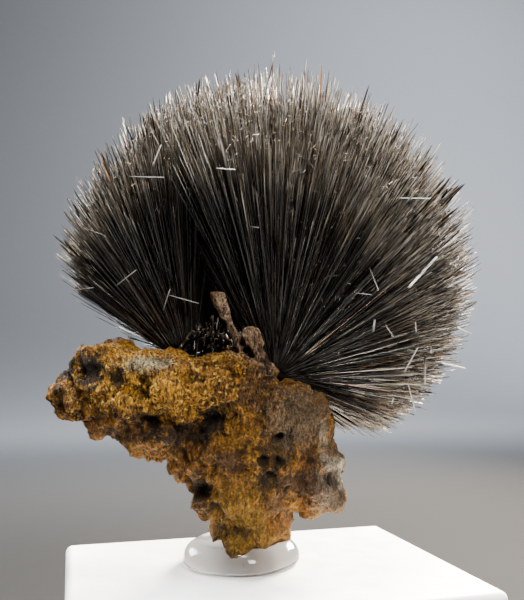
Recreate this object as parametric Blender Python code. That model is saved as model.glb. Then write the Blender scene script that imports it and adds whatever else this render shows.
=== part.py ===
"""Pyrolusite on limonite: two fans of needle crystals grown together on a rusty matrix,
set in a bead of clear adhesive on a small white acrylic display block.

Metres, +Z up. The origin is the centre of the block's underside, X runs along the block's
long edges and -Y is its front. The specimen is turned on the block, so its pieces hang
under an empty whose own frame has its zero at the centre of the block's top face. Tables
of places and sizes in that frame are in millimetres.
"""

import math
import random

import bmesh
import bpy
from mathutils import Matrix, Vector

MM = 0.001
GAP = 0.3 * MM

# Display block: cast acrylic with eased edges.
BLOCK_WIDTH = 32.0 * MM
BLOCK_DEPTH = 23.5 * MM
BLOCK_HEIGHT = 12.7 * MM
BLOCK_EASE = 0.6 * MM
SPECIMEN_TURN = math.radians(-15.4)

# Adhesive bead: a squeezed-out drop with a rounded rim and a sunken middle, as radius and
# height from its underside up.
BEAD_CENTRE = (-1.8, 1.1)
BEAD_PROFILE = (
    (0.0, 0.0),
    (4.3, 0.0),
    (4.9, 0.35),
    (5.0, 0.95),
    (4.6, 1.6),
    (3.9, 1.95),
    (3.0, 1.75),
    (0.0, 1.5),
)
BEAD_SIDES = 20

# Limonite matrix: lumps as centre, radii and tilt about Y in degrees.
LUMPS = {
    "arm_tip": ((-15.6, -0.5, 14.0), (2.3, 3.0, 1.7), 20),
    "arm_corner": ((-13.9, -0.4, 16.0), (2.6, 3.3, 1.9), 0),
    "arm": ((-11.2, 0.0, 14.2), (4.6, 4.0, 3.6), 8),
    "arm_keel": ((-10.4, 0.4, 11.9), (4.4, 3.4, 2.6), 22),
    "armpit": ((-5.9, 0.6, 8.7), (1.6, 2.4, 2.2), 0),
    "ledge": ((-7.4, -0.6, 15.1), (5.6, 3.9, 2.8), 0),
    "ledge_end": ((-3.0, -0.8, 15.4), (4.0, 3.9, 2.8), 0),
    "shoulder": ((2.4, 0.9, 12.6), (4.0, 4.6, 2.9), 24),
    "body": ((-0.6, 1.6, 10.4), (6.0, 5.3, 5.2), 0),
    "waist": ((-0.8, 1.3, 6.6), (4.3, 4.1, 3.8), 0),
    "foot": ((-0.9, 1.1, 3.4), (3.3, 3.2, 2.4), 0),
    "right_lobe": ((4.6, 1.1, 7.4), (2.6, 3.2, 2.9), 0),
    "right_toe": ((5.2, 1.0, 5.6), (1.6, 2.2, 1.2), -10),
    "left_tag": ((-5.0, 0.6, 5.5), (0.9, 1.4, 1.9), -12),
    "back_shelf": ((-5.4, 5.0, 13.4), (6.2, 3.8, 3.6), 0),
    "back_shoulder": ((1.6, 5.2, 11.4), (4.6, 3.6, 3.4), 0),
}
LUMP_SQUARENESS = 0.82
ROCK_VOXEL = 0.5 * MM
CRAG_SCALE, CRAG_DEPTH = 2.6 * MM, 1.5 * MM
PIT_SCALE, PIT_DEPTH = 1.3 * MM, 0.7 * MM
ROCK_SHARE = 0.12

# Crust stalks: limonite-coated stubs before the hollow, as (centre, radius) from root to head.
CLUB_STATIONS = (
    ((-0.9, -2.3, 15.6), 0.75),
    ((-1.3, -2.5, 17.6), 0.55),
    ((-2.0, -2.5, 19.4), 0.45),
    ((-2.7, -2.5, 20.9), 0.5),
    ((-3.2, -2.5, 22.0), 0.75),
    ((-3.45, -2.5, 22.7), 0.6),
)
BLADE_STATIONS = (
    ((0.7, -2.3, 15.0), 1.0),
    ((0.2, -2.4, 16.6), 1.1),
    ((-0.3, -2.4, 18.0), 1.0),
    ((-0.5, -2.4, 19.2), 0.95),
    ((-0.6, -2.4, 19.9), 0.6),
)
STALK_SIDES = 7

# Needle crown: the ellipsoid that the needle tips reach, common to both fans.
CROWN_CENTRE = Vector((0.5, 6.0, 26.1))
CROWN_RADII = Vector((19.8, 16.2, 19.0))

# Each cluster of crystals grows from a core, in the directions above its lowest elevation at
# each azimuth. Azimuth 0 is to the right (+X) and 90 to the back (+Y), in degrees.
RIGHT_FAN = {
    "root": Vector((1.3, 0.5, 16.2)),
    "core": Vector((1.5, 1.3, 1.1)),
    "limits": (
        (0, -21), (45, -20), (90, -12), (105, -4), (120, 12), (135, 26), (150, 42), (180, 64),
        (225, 64), (270, 60), (300, 46), (320, 30), (335, 6), (345, -12), (360, -21),
    ),
    "cells": 9,
    "side": 1,
}
LEFT_FAN = {
    "root": Vector((-6.6, 3.5, 18.0)),
    "core": Vector((3.0, 1.3, 1.1)),
    "limits": (
        (0, 80), (30, 68), (45, 54), (60, 34), (75, 5), (90, 0), (110, 6), (135, 18),
        (150, 25), (180, 34), (200, 37), (225, 47), (270, 66), (315, 80), (360, 80),
    ),
    "cells": 9,
    "side": -1,
}
# Broken stubs on the floor of the hollow between the fans. Their core joins the two fans.
STUBBLE = {
    "root": Vector((-2.6, 1.7, 17.0)),
    "core": Vector((4.7, 2.0, 1.3)),
    "limits": ((0, 52), (90, 20), (180, 52), (270, 48), (360, 52)),
    "cells": 6,
    "stub_length": 5.0,
}
# The fans meet at this leaning plane and cross it a little. Its normal points to the right fan.
DIVIDE_POINT = Vector((-2.9, 2.0, 18.0))
DIVIDE_NORMAL = Vector((0.94, -0.3, 0.12)).normalized()
DIVIDE_OVERLAP = 2.2

# Each crystal fills most of its cell, and tapers to its point beyond its shoulder.
CELL_JITTER = 0.22
CRYSTAL_FILL = 0.88
SHOULDER_SHARE = (0.66, 0.86)
LENGTH_SHARE = (0.92, 1.0)
ENVELOPE_MARGIN_DEGREES = 9.0
ENVELOPE_LENGTH_SHARE = 1.05
ENVELOPE_SUBDIVISIONS = 4
SEED = 7


def clear_scene():
    for obj in list(bpy.data.objects):
        bpy.data.objects.remove(obj)


def principled(name, colour, roughness, metallic=0.0, transmission=0.0):
    made = bpy.data.materials.new(name)
    made.use_nodes = True
    shader = made.node_tree.nodes["Principled BSDF"]
    shader.inputs["Base Color"].default_value = (*colour, 1.0)
    shader.inputs["Roughness"].default_value = roughness
    shader.inputs["Metallic"].default_value = metallic
    shader.inputs["Transmission Weight"].default_value = transmission
    return made


def add_object(name, bm, material=None, parent=None):
    """The bmesh as a named object. Without a material it is a hidden helper."""
    mesh = bpy.data.meshes.new(name)
    bm.to_mesh(mesh)
    bm.free()
    obj = bpy.data.objects.new(name, mesh)
    bpy.context.scene.collection.objects.link(obj)
    obj.parent = parent
    if material:
        mesh.materials.append(material)
    else:
        hide_helper(obj)
    return obj


def hide_helper(obj):
    obj.hide_render = True
    obj.display_type = "WIRE"


def boolean(obj, operation, other, solver="EXACT"):
    modifier = obj.modifiers.new(f"{operation.lower()} {other.name}", "BOOLEAN")
    modifier.operation = operation
    modifier.solver = solver
    modifier.object = other


def display_block(material):
    bm = bmesh.new()
    size = Matrix.Diagonal((BLOCK_WIDTH, BLOCK_DEPTH, BLOCK_HEIGHT, 1.0))
    raise_up = Matrix.Translation((0, 0, BLOCK_HEIGHT / 2))
    bmesh.ops.create_cube(bm, size=1.0, matrix=raise_up @ size)
    block = add_object("display_block", bm, material)
    bevel = block.modifiers.new("eased edges", "BEVEL")
    bevel.width = BLOCK_EASE
    bevel.segments = 2
    return block


def specimen_frame():
    """The empty that turns the specimen on the block."""
    frame = bpy.data.objects.new("specimen_frame", None)
    bpy.context.scene.collection.objects.link(frame)
    frame.location = (0, 0, BLOCK_HEIGHT)
    frame.rotation_euler = (0, 0, SPECIMEN_TURN)
    return frame


def adhesive_bead(material, parent, foot):
    """The bead, turned from its profile, with a socket that clears the matrix's foot."""
    bm = bmesh.new()
    places = [Vector((radius * MM, 0, height * MM + GAP)) for radius, height in BEAD_PROFILE]
    rim = [bm.verts.new(place) for place in places]
    edges = [bm.edges.new(pair) for pair in zip(rim, rim[1:])]
    upright = {"cent": (0, 0, 0), "axis": (0, 0, 1)}
    bmesh.ops.spin(bm, geom=rim + edges, angle=math.tau, steps=BEAD_SIDES, use_merge=True, **upright)
    bmesh.ops.remove_doubles(bm, verts=bm.verts, dist=0.001 * MM)
    bmesh.ops.recalc_face_normals(bm, faces=bm.faces)
    bmesh.ops.translate(bm, verts=bm.verts, vec=(BEAD_CENTRE[0] * MM, BEAD_CENTRE[1] * MM, 0))
    bead = add_object("adhesive_bead", bm, material, parent)
    boolean(bead, "DIFFERENCE", foot)
    return bead


def lowest_elevation(limits, azimuth):
    """The lowest elevation at this azimuth, eased between the table's entries."""
    for (start, low), (end, high) in zip(limits, limits[1:]):
        if start <= azimuth <= end:
            share = (azimuth - start) / (end - start)
            return low + (high - low) * (1 - math.cos(math.pi * share)) / 2
    raise ValueError(f"no limit covers azimuth {azimuth}")


def within(cluster, direction, margin=0.0):
    """Whether the cluster grows in this direction, or comes within the margin of it."""
    azimuth = math.degrees(math.atan2(direction.y, direction.x)) % 360
    elevation = math.degrees(math.asin(max(-1.0, min(1.0, direction.z))))
    return elevation > lowest_elevation(cluster["limits"], azimuth) - margin


def reach(cluster, direction):
    """How far the crystals reach from the root in this direction: to the crown, or a stub's length."""
    if "stub_length" in cluster:
        return cluster["stub_length"]
    start = Vector(a / b for a, b in zip(cluster["root"] - CROWN_CENTRE, CROWN_RADII))
    step = Vector(a / b for a, b in zip(direction, CROWN_RADII))
    along = start.dot(step)
    root_term = along**2 - step.length_squared * (start.length_squared - 1)
    return (math.sqrt(root_term) - along) / step.length_squared


def core_place(cluster, direction):
    return cluster["root"] + Vector(a * b for a, b in zip(direction, cluster["core"]))


def place_along(cluster, direction, share, length_share=1.0):
    """The point that lies this share of the way from the core to the crystal's tip."""
    tip = cluster["root"] + direction * reach(cluster, direction) * length_share
    return core_place(cluster, direction).lerp(tip, share)


def on_own_side(cluster, places):
    """Whether a fan's crystal keeps to its side of the divide. Stubble has no side."""
    side = cluster.get("side", 0)
    depths = [(place - DIVIDE_POINT).dot(DIVIDE_NORMAL) * side for place in places]
    return min(depths) > -DIVIDE_OVERLAP


def cell_sphere(cells, rng):
    """A unit sphere of four-sided cells of about equal size, shaken so that no rows show."""
    bm = bmesh.new()
    bmesh.ops.create_cube(bm, size=2.0)
    bmesh.ops.subdivide_edges(bm, edges=bm.edges, cuts=cells - 1, use_grid_fill=True)
    shake = CELL_JITTER * math.pi / 2 / cells
    for vert in bm.verts:
        even = Vector(math.tan(value * math.pi / 4) for value in vert.co).normalized()
        offset = Vector(rng.uniform(-shake, shake) for _ in range(3))
        vert.co = (even + offset).normalized()
    return bm


def crystal_places(cluster, cell, rng):
    """Where the crystal on this cell has its point and, per corner of the cell, its shoulder."""
    axis = cell.calc_center_median().normalized()
    length_share = rng.uniform(*LENGTH_SHARE)
    shoulder_share = rng.uniform(*SHOULDER_SHARE)
    point = place_along(cluster, axis, 1.0, length_share)
    slimmed = [axis.lerp(vert.co, CRYSTAL_FILL).normalized() for vert in cell.verts]
    shoulder = [place_along(cluster, direction, shoulder_share, length_share) for direction in slimmed]
    return point, shoulder


def crystal_cluster(name, cluster, rng, material=None, parent=None):
    """A core with one pointed, four-sided crystal on each cell that faces the cluster's way."""
    bm = cell_sphere(cluster["cells"], rng)
    grown = {}
    for cell in bm.faces:
        point, shoulder = crystal_places(cluster, cell, rng)
        faces_out = within(cluster, cell.calc_center_median().normalized())
        if faces_out and on_own_side(cluster, [point, *shoulder]):
            grown[cell] = (point, shoulder)
    caps = bmesh.ops.extrude_discrete_faces(bm, faces=list(grown))["faces"]
    places = {}
    for cap, (point, shoulder) in zip(caps, grown.values()):
        places.update(zip(cap.verts, shoulder))
        apex = bmesh.ops.poke(bm, faces=[cap])["verts"][0]
        places[apex] = point
    for vert in bm.verts:
        vert.co = (places.get(vert) or core_place(cluster, vert.co)) * MM
    return add_object(name, bm, material, parent)


def envelope(name, cluster, parent):
    """A smooth closed form just outside the cluster, which clears the matrix away around it."""
    bm = bmesh.new()
    bmesh.ops.create_icosphere(bm, subdivisions=ENVELOPE_SUBDIVISIONS, radius=1.0)
    for vert in bm.verts:
        direction = vert.co.normalized()
        if within(cluster, direction, ENVELOPE_MARGIN_DEGREES):
            vert.co = place_along(cluster, direction, ENVELOPE_LENGTH_SHARE) * MM
        else:
            vert.co = core_place(cluster, direction) * MM + direction * GAP
    return add_object(name, bm, parent=parent)


def stalk(name, stations, rng, parent):
    """A rough, crusted stub, skinned over rings around its stations."""
    bm = bmesh.new()
    rings = []
    for centre, radius in stations:
        ring = []
        for side in range(STALK_SIDES):
            angle = math.tau * side / STALK_SIDES
            size = radius * rng.uniform(0.8, 1.15)
            spoke = Vector((math.cos(angle), math.sin(angle), 0)) * size
            ring.append(bm.verts.new((Vector(centre) + spoke) * MM))
        rings.append(ring)
    for lower, upper in zip(rings, rings[1:]):
        for side in range(STALK_SIDES):
            after = (side + 1) % STALK_SIDES
            bm.faces.new((lower[side], lower[after], upper[after], upper[side]))
    bm.faces.new(reversed(rings[0]))
    bm.faces.new(rings[-1])
    return add_object(name, bm, parent=parent)


def displace(obj, name, kind, scale, depth):
    texture = bpy.data.textures.new(name, kind)
    texture.noise_scale = scale
    modifier = obj.modifiers.new(name, "DISPLACE")
    modifier.texture = texture
    modifier.strength = depth
    modifier.mid_level = 0.5


def limonite_matrix(material, parent, envelopes, stalks):
    """Lumps run together into one craggy rock, cleared for the fans and joined to its stalks."""
    bm = bmesh.new()
    for centre, radii, tilt in LUMPS.values():
        made = bmesh.ops.create_icosphere(bm, subdivisions=3, radius=1.0)["verts"]
        for vert in made:
            vert.co = Vector(math.copysign(abs(value) ** LUMP_SQUARENESS, value) for value in vert.co)
        place = Matrix.Translation(Vector(centre) * MM)
        turn = Matrix.Rotation(math.radians(tilt), 4, "Y")
        size = Matrix.Diagonal((*(Vector(radii) * MM), 1.0))
        bmesh.ops.transform(bm, matrix=place @ turn @ size, verts=made)
    rock = add_object("matrix", bm, material, parent)
    remesh = rock.modifiers.new("one skin", "REMESH")
    remesh.mode = "VOXEL"
    remesh.voxel_size = ROCK_VOXEL
    displace(rock, "crags", "CLOUDS", CRAG_SCALE, CRAG_DEPTH)
    displace(rock, "pits", "VORONOI", PIT_SCALE, PIT_DEPTH)
    fewer = rock.modifiers.new("facets", "DECIMATE")
    fewer.ratio = ROCK_SHARE
    for stub in stalks:
        boolean(rock, "UNION", stub)
    for cleared in envelopes:
        boolean(rock, "DIFFERENCE", cleared)
    return rock


def grown_copy(obj, name):
    """A helper with the object's final shape, its skin moved out by the gap."""
    bpy.context.view_layer.update()
    graph = bpy.context.evaluated_depsgraph_get()
    mesh = bpy.data.meshes.new_from_object(obj.evaluated_get(graph))
    bm = bmesh.new()
    bm.from_mesh(mesh)
    bm.normal_update()
    for vert in bm.verts:
        vert.co += vert.normal * GAP
    return add_object(name, bm, parent=obj.parent)


def main():
    clear_scene()
    rng = random.Random(SEED)
    acrylic = principled("white acrylic", (0.86, 0.86, 0.84), 0.25)
    adhesive = principled("clear adhesive", (0.85, 0.9, 0.95), 0.08, transmission=0.9)
    limonite = principled("limonite", (0.42, 0.24, 0.07), 0.9)
    pyrolusite = principled("pyrolusite", (0.045, 0.043, 0.045), 0.35, metallic=0.6)

    display_block(acrylic)
    frame = specimen_frame()
    # The EXACT solver drops a whole fan from these unions.
    spray = crystal_cluster("needle_spray", RIGHT_FAN, rng, pyrolusite, frame)
    boolean(spray, "UNION", crystal_cluster("stubble", STUBBLE, rng, parent=frame), solver="MANIFOLD")
    boolean(spray, "UNION", crystal_cluster("left_fan", LEFT_FAN, rng, parent=frame), solver="MANIFOLD")
    envelopes = [
        envelope("right_envelope", RIGHT_FAN, frame),
        envelope("stubble_envelope", STUBBLE, frame),
        envelope("left_envelope", LEFT_FAN, frame),
    ]
    stalks = [
        stalk("club", CLUB_STATIONS, rng, frame),
        stalk("blade", BLADE_STATIONS, rng, frame),
    ]
    rock = limonite_matrix(limonite, frame, envelopes, stalks)
    adhesive_bead(adhesive, frame, grown_copy(rock, "grown_matrix"))


main()
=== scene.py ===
# %% [markdown]
# # Dressing a pyrolusite specimen
#
# Pyrolusite is manganese oxide. Here it grew as two crossing fans of fine black needles on a
# rusty lump of limonite. A bead of clear adhesive holds the lump's foot on a small block of
# white acrylic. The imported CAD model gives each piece's size and place. This lesson gives
# each piece its finish: thousands of needles by Geometry Nodes, a crusty rock, a clear bead
# and a polished block, under soft studio light.

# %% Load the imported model
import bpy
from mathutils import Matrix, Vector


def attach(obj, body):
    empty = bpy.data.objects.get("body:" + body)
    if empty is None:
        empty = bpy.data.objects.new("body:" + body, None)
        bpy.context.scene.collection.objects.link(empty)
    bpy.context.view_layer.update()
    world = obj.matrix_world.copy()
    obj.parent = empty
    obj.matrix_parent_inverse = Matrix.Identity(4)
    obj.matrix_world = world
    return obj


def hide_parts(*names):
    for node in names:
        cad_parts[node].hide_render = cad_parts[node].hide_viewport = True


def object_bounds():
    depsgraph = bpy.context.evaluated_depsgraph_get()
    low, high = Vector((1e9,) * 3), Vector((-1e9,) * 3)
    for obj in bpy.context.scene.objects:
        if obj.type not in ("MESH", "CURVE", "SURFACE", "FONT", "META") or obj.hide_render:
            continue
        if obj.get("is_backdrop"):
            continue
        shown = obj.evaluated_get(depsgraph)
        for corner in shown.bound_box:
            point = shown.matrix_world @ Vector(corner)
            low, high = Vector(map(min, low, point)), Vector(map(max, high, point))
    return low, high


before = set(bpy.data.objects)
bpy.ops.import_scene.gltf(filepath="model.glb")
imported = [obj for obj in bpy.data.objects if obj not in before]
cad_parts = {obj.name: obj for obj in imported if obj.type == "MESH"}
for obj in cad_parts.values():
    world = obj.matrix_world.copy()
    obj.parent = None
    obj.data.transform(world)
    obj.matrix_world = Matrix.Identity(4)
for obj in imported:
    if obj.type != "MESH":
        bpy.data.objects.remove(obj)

cad_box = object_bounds()
print("CAD nodes:", ", ".join(sorted(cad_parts)))

# %% Modules and units
import math

import bmesh
import bpy
import numpy as np
from mathutils import Matrix, Vector, noise

MM = 0.001
print("A millimetre is", MM, "of the scene's metres")

# %% [markdown]
# ## Where the specimen stands
#
# The block sits square in the part's frame, and the specimen is turned a little on top of
# it. Every place on the specimen is easier to read in its own frame, in millimetres from the
# centre of the block's top. One matrix then carries finished meshes over, so that each
# object stays at the origin, unturned.

# %% The specimen's own frame
BLOCK_SIZE = Vector((32.0, 23.5, 12.7)) * MM
SPECIMEN_TURN_DEGREES = -15.4

turn_on_block = Matrix.Rotation(math.radians(SPECIMEN_TURN_DEGREES), 4, "Z")
on_block = Matrix.Translation((0, 0, BLOCK_SIZE.z)) @ turn_on_block
print("Specimen frame's zero:", [round(value, 4) for value in on_block.translation])

# %% [markdown]
# ## The camera
#
# A close view from a little above the block's top, looking slightly up at the spray. It is
# placed in the specimen's frame too: 61 mm in front, which gives the strong perspective of a
# close-up.

# %% Camera
CAMERA_PLACE = Vector((0.0, -61.1, 16.64)) * MM
CAMERA_PITCH_DEGREES = 5.55

lens = bpy.data.cameras.new("close_up")
lens.lens = 42.0
lens.sensor_width = 36.0
lens.clip_start = 1 * MM
lens.clip_end = 5.0
camera = bpy.data.objects.new("close_up", lens)
bpy.context.scene.collection.objects.link(camera)
look_up = Matrix.Rotation(math.radians(90 + CAMERA_PITCH_DEGREES), 4, "X")
camera.matrix_world = on_block @ Matrix.Translation(CAMERA_PLACE) @ look_up
bpy.context.scene.camera = camera
print("Camera at", [round(value, 4) for value in camera.location])

# %% [markdown]
# ## Helpers for node trees
#
# Materials and geometry are both built as node trees. A tree reads well when each node is
# one line that names its kind, its settings and what goes in, so the helper takes all three.
# A value given to an input may be a number or another node's output.


# %% Build a node in one line
def feed(tree, socket, value):
    """Give an input another node's output, or else a plain value."""
    if isinstance(value, bpy.types.NodeSocket):
        tree.links.new(value, socket)
    else:
        socket.default_value = value


def add_node(tree, kind, inputs=None, **settings):
    """A node with its settings set, and each named input given a value or a link."""
    node = tree.nodes.new(kind)
    for name, value in settings.items():
        setattr(node, name, value)
    for key, value in (inputs or {}).items():
        feed(tree, node.inputs[key], value)
    return node


def live_sockets(sockets):
    """By name, the sockets in use. Some nodes keep a hidden set for each kind of data."""
    return {socket.name: socket for socket in sockets if socket.enabled}


print("Node builder ready")


# %% Sums, vectors and mixes
def maths(tree, operation, *values):
    return add_node(tree, "ShaderNodeMath", dict(enumerate(values)), operation=operation).outputs[0]


def vector_maths(tree, operation, *values):
    inputs = dict(enumerate(values))
    if operation == "SCALE":
        inputs = {"Vector": values[0], "Scale": values[1]}
    node = add_node(tree, "ShaderNodeVectorMath", inputs, operation=operation)
    return node.outputs["Value" if operation in ("DOT_PRODUCT", "LENGTH") else "Vector"]


def mix_colours(tree, share, first, second):
    node = add_node(tree, "ShaderNodeMix", data_type="RGBA")
    sockets = live_sockets(node.inputs)
    for name, value in (("Factor", share), ("A", first), ("B", second)):
        feed(tree, sockets[name], value)
    return live_sockets(node.outputs)["Result"]


def between(tree, value, low, high, to_low=0.0, to_high=1.0, smooth=False):
    """The value carried from one pair of levels to another, and held at both ends."""
    levels = {"Value": value, "From Min": low, "From Max": high, "To Min": to_low, "To Max": to_high}
    kind = "SMOOTHSTEP" if smooth else "LINEAR"
    return add_node(tree, "ShaderNodeMapRange", levels, interpolation_type=kind).outputs["Result"]


def noise_in(tree, place, scale, detail=2.0, roughness=0.5, distortion=0.0):
    """A Noise Texture's outputs: Fac is the level and Color is three levels at once."""
    inputs = {"Vector": place, "Scale": scale, "Detail": detail, "Roughness": roughness}
    return add_node(tree, "ShaderNodeTexNoise", {**inputs, "Distortion": distortion}).outputs


def axes(tree, vector):
    return add_node(tree, "ShaderNodeSeparateXYZ", {0: vector}).outputs


def joined(tree, x, y, z):
    return add_node(tree, "ShaderNodeCombineXYZ", {"X": x, "Y": y, "Z": z}).outputs[0]


def colour(red, green, blue):
    return (red, green, blue, 1.0)


print("Helpers for sums, vectors, colours and noise ready")

# %% [markdown]
# ## Effects that several finishes share
#
# Rust mottling, dust and grit turn up on more than one surface, at other scales and
# strengths. Each is a shader node group with named inputs, built once. A group gives out a
# mask or a height only, and the shader that uses it stays in its material.


# %% Start a shader node group
def effect_group(name, inputs, outputs=("Mask",)):
    """An empty effect with its sockets. Inputs are given as name: (socket kind, value)."""
    group = bpy.data.node_groups.new(name, "ShaderNodeTree")
    for label, (kind, value) in inputs.items():
        socket = group.interface.new_socket(label, in_out="INPUT", socket_type=kind)
        if value is not None:
            socket.default_value = value
    for label in outputs:
        group.interface.new_socket(label, in_out="OUTPUT", socket_type="NodeSocketFloat")
    entry = add_node(group, "NodeGroupInput")
    leave = add_node(group, "NodeGroupOutput")
    return group, entry.outputs, leave.inputs


def use_effect(tree, group, inputs, output=0):
    """One of the group's effects, placed in a material with its own values."""
    return add_node(tree, "ShaderNodeGroup", inputs, node_tree=group).outputs[output]


FLOAT, VECTOR = "NodeSocketFloat", "NodeSocketVector"
print("Group helper ready")

# %% Mottle: cloudy patches between two levels of a noise
mottle, given, out = effect_group(
    "mottle",
    {
        "Place": (VECTOR, None),
        "Scale": (FLOAT, 1.0),
        "Detail": (FLOAT, 4.0),
        "Low": (FLOAT, 0.4),
        "High": (FLOAT, 0.6),
    },
)
clouds = noise_in(mottle, given["Place"], given["Scale"], given["Detail"], roughness=0.6)["Fac"]
mottle.links.new(between(mottle, clouds, given["Low"], given["High"], smooth=True), out["Mask"])
print("Effect:", mottle.name)

# %% Patch: a blotch with a ragged edge round one place
patch, given, out = effect_group(
    "patch",
    {
        "Place": (VECTOR, None),
        "Centre": (VECTOR, (0, 0, 0)),
        "Radii": (VECTOR, (1, 1, 1)),
        "Ragged": (FLOAT, 0.5),
        "Scale": (FLOAT, 1.5),
    },
)
offset = vector_maths(patch, "SUBTRACT", given["Place"], given["Centre"])
distance = vector_maths(patch, "LENGTH", vector_maths(patch, "DIVIDE", offset, given["Radii"]))
edge = noise_in(patch, given["Place"], given["Scale"], detail=5.0, roughness=0.65)["Fac"]
wobble = maths(patch, "SUBTRACT", edge, 0.5)
ragged = maths(patch, "MULTIPLY_ADD", wobble, maths(patch, "MULTIPLY", given["Ragged"], 4.0), distance)
patch.links.new(between(patch, ragged, 1.25, 0.75, smooth=True), out["Mask"])
print("Effect:", patch.name)

# %% Specks: scattered small grains, pores or dust
specks, given, out = effect_group(
    "specks",
    {
        "Place": (VECTOR, None),
        "Scale": (FLOAT, 3.0),
        "Size": (FLOAT, 0.25),
        "Share": (FLOAT, 0.5),
    },
)
cells = add_node(specks, "ShaderNodeTexVoronoi", {"Vector": given["Place"], "Scale": given["Scale"]})
lot = add_node(specks, "ShaderNodeSeparateColor", {"Color": cells.outputs["Color"]}).outputs["Red"]
present = maths(specks, "LESS_THAN", lot, given["Share"])
solid_size = maths(specks, "MULTIPLY", given["Size"], 0.4)
dot = between(specks, cells.outputs["Distance"], given["Size"], solid_size, smooth=True)
specks.links.new(maths(specks, "MULTIPLY", dot, present), out["Mask"])
print("Effect:", specks.name)

# %% Crumbs: a crust of grains, each with its own lot, and the gaps between them
crumbs, given, out = effect_group(
    "crumbs", {"Place": (VECTOR, None), "Scale": (FLOAT, 3.0), "Shake": (FLOAT, 0.3)}, ("Lot", "Gap")
)
shaken = noise_in(crumbs, given["Place"], given["Scale"])["Color"]
shaken = vector_maths(crumbs, "SUBTRACT", shaken, (0.5, 0.5, 0.5))
shaken = vector_maths(crumbs, "SCALE", shaken, given["Shake"])
grains = {"Vector": vector_maths(crumbs, "ADD", given["Place"], shaken), "Scale": given["Scale"]}
cells = add_node(crumbs, "ShaderNodeTexVoronoi", grains)
lot = add_node(crumbs, "ShaderNodeSeparateColor", {"Color": cells.outputs["Color"]}).outputs["Red"]
edges = add_node(crumbs, "ShaderNodeTexVoronoi", grains, feature="DISTANCE_TO_EDGE").outputs["Distance"]
crumbs.links.new(lot, out["Lot"])
crumbs.links.new(between(crumbs, edges, 0.16, 0.0), out["Gap"])
print("Effect:", crumbs.name)

# %% Fibres: fine upright threads, as limonite keeps from the needles it replaced
fibres, given, out = effect_group(
    "fibres", {"Place": (VECTOR, None), "Across": (FLOAT, 6.0), "Along": (FLOAT, 1.6)}
)
squeeze = joined(fibres, given["Across"], given["Across"], given["Along"])
drawn = vector_maths(fibres, "MULTIPLY", given["Place"], squeeze)
threads = noise_in(fibres, drawn, 1.0, detail=3.0, distortion=0.6)["Fac"]
fibres.links.new(between(fibres, threads, 0.36, 0.64), out["Mask"])
print("Effect:", fibres.name)


# %% Start a material whose patterns are measured in the specimen's millimetres
def new_material(name, settings):
    """A material, its tree, its shader and the specimen's place in millimetres."""
    made = bpy.data.materials.new(name)
    made.use_nodes = True
    tree = made.node_tree
    shader = tree.nodes["Principled BSDF"]
    for socket, value in settings.items():
        shader.inputs[socket].default_value = value
    coordinates = add_node(tree, "ShaderNodeTexCoord").outputs["Object"]
    to_specimen = {
        "Vector": coordinates,
        "Location": (0, 0, -BLOCK_SIZE.z / MM),
        "Rotation": (0, 0, -math.radians(SPECIMEN_TURN_DEGREES)),
        "Scale": (1 / MM,) * 3,
    }
    place = add_node(tree, "ShaderNodeMapping", to_specimen).outputs["Vector"]
    return made, tree, shader, place


def bump(tree, height, distance, strength=1.0, under=None):
    """A Bump node for this height in millimetres. Bumps stack by naming the one under it."""
    inputs = {"Height": height, "Distance": distance * MM, "Strength": strength}
    if under is not None:
        inputs["Normal"] = under
    return add_node(tree, "ShaderNodeBump", inputs).outputs["Normal"]


print("Material helper ready")

# %% [markdown]
# ## The display block
#
# The base is sawn from cast acrylic and polished, so it is bright white with softly rounded
# edges that catch the light. A cube with a bevel of several segments gives those edges. Its
# finish is nearly even, with faint cloudiness, a few dust specks, and hazy handling marks in
# its gloss.

# %% White acrylic
acrylic, tree, shader, place = new_material("white_acrylic", {"IOR": 1.49, "Specular IOR Level": 0.3})
cloudy = use_effect(tree, mottle, {"Place": place, "Scale": 0.16, "Low": 0.3, "High": 0.7})
white = mix_colours(tree, cloudy, colour(0.88, 0.875, 0.86), colour(0.82, 0.825, 0.83))
dust = use_effect(tree, specks, {"Place": place, "Scale": 1.1, "Size": 0.09, "Share": 0.3})
dusty = mix_colours(tree, maths(tree, "MULTIPLY", dust, 0.35), white, colour(0.45, 0.42, 0.38))
handled = use_effect(tree, mottle, {"Place": place, "Scale": 0.5, "Low": 0.42, "High": 0.62})
stretched = add_node(tree, "ShaderNodeMapping", {"Vector": place, "Scale": (0.3, 6.0, 0.3)})
hairlines = noise_in(tree, stretched.outputs["Vector"], 3.0)["Fac"]
tree.links.new(dusty, shader.inputs["Base Color"])
tree.links.new(between(tree, handled, 0.0, 1.0, 0.38, 0.6), shader.inputs["Roughness"])
tree.links.new(bump(tree, hairlines, 0.01, 0.4), shader.inputs["Normal"])
print("Finish:", acrylic.name)


# %% Make and place a piece
def new_object(name, mesh, material):
    mesh.materials.clear()
    mesh.materials.append(material)
    obj = bpy.data.objects.new(name, mesh)
    bpy.context.scene.collection.objects.link(obj)
    return obj


def mesh_from(name, bm):
    mesh = bpy.data.meshes.new(name)
    bm.to_mesh(mesh)
    bm.free()
    return mesh


def skin(bm, rings, steps):
    """Faces between rings of points. A ring of one point is a pole, which closes the shape."""
    for lower, upper in zip(rings, rings[1:]):
        for step in range(steps):
            after = (step + 1) % steps
            corners = [lower[step % len(lower)], lower[after % len(lower)]]
            corners += [upper[after % len(upper)], upper[step % len(upper)]]
            bm.faces.new(dict.fromkeys(corners))
    bmesh.ops.recalc_face_normals(bm, faces=bm.faces)


def triangles(mesh):
    return sum(len(polygon.vertices) - 2 for polygon in mesh.polygons)


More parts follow.
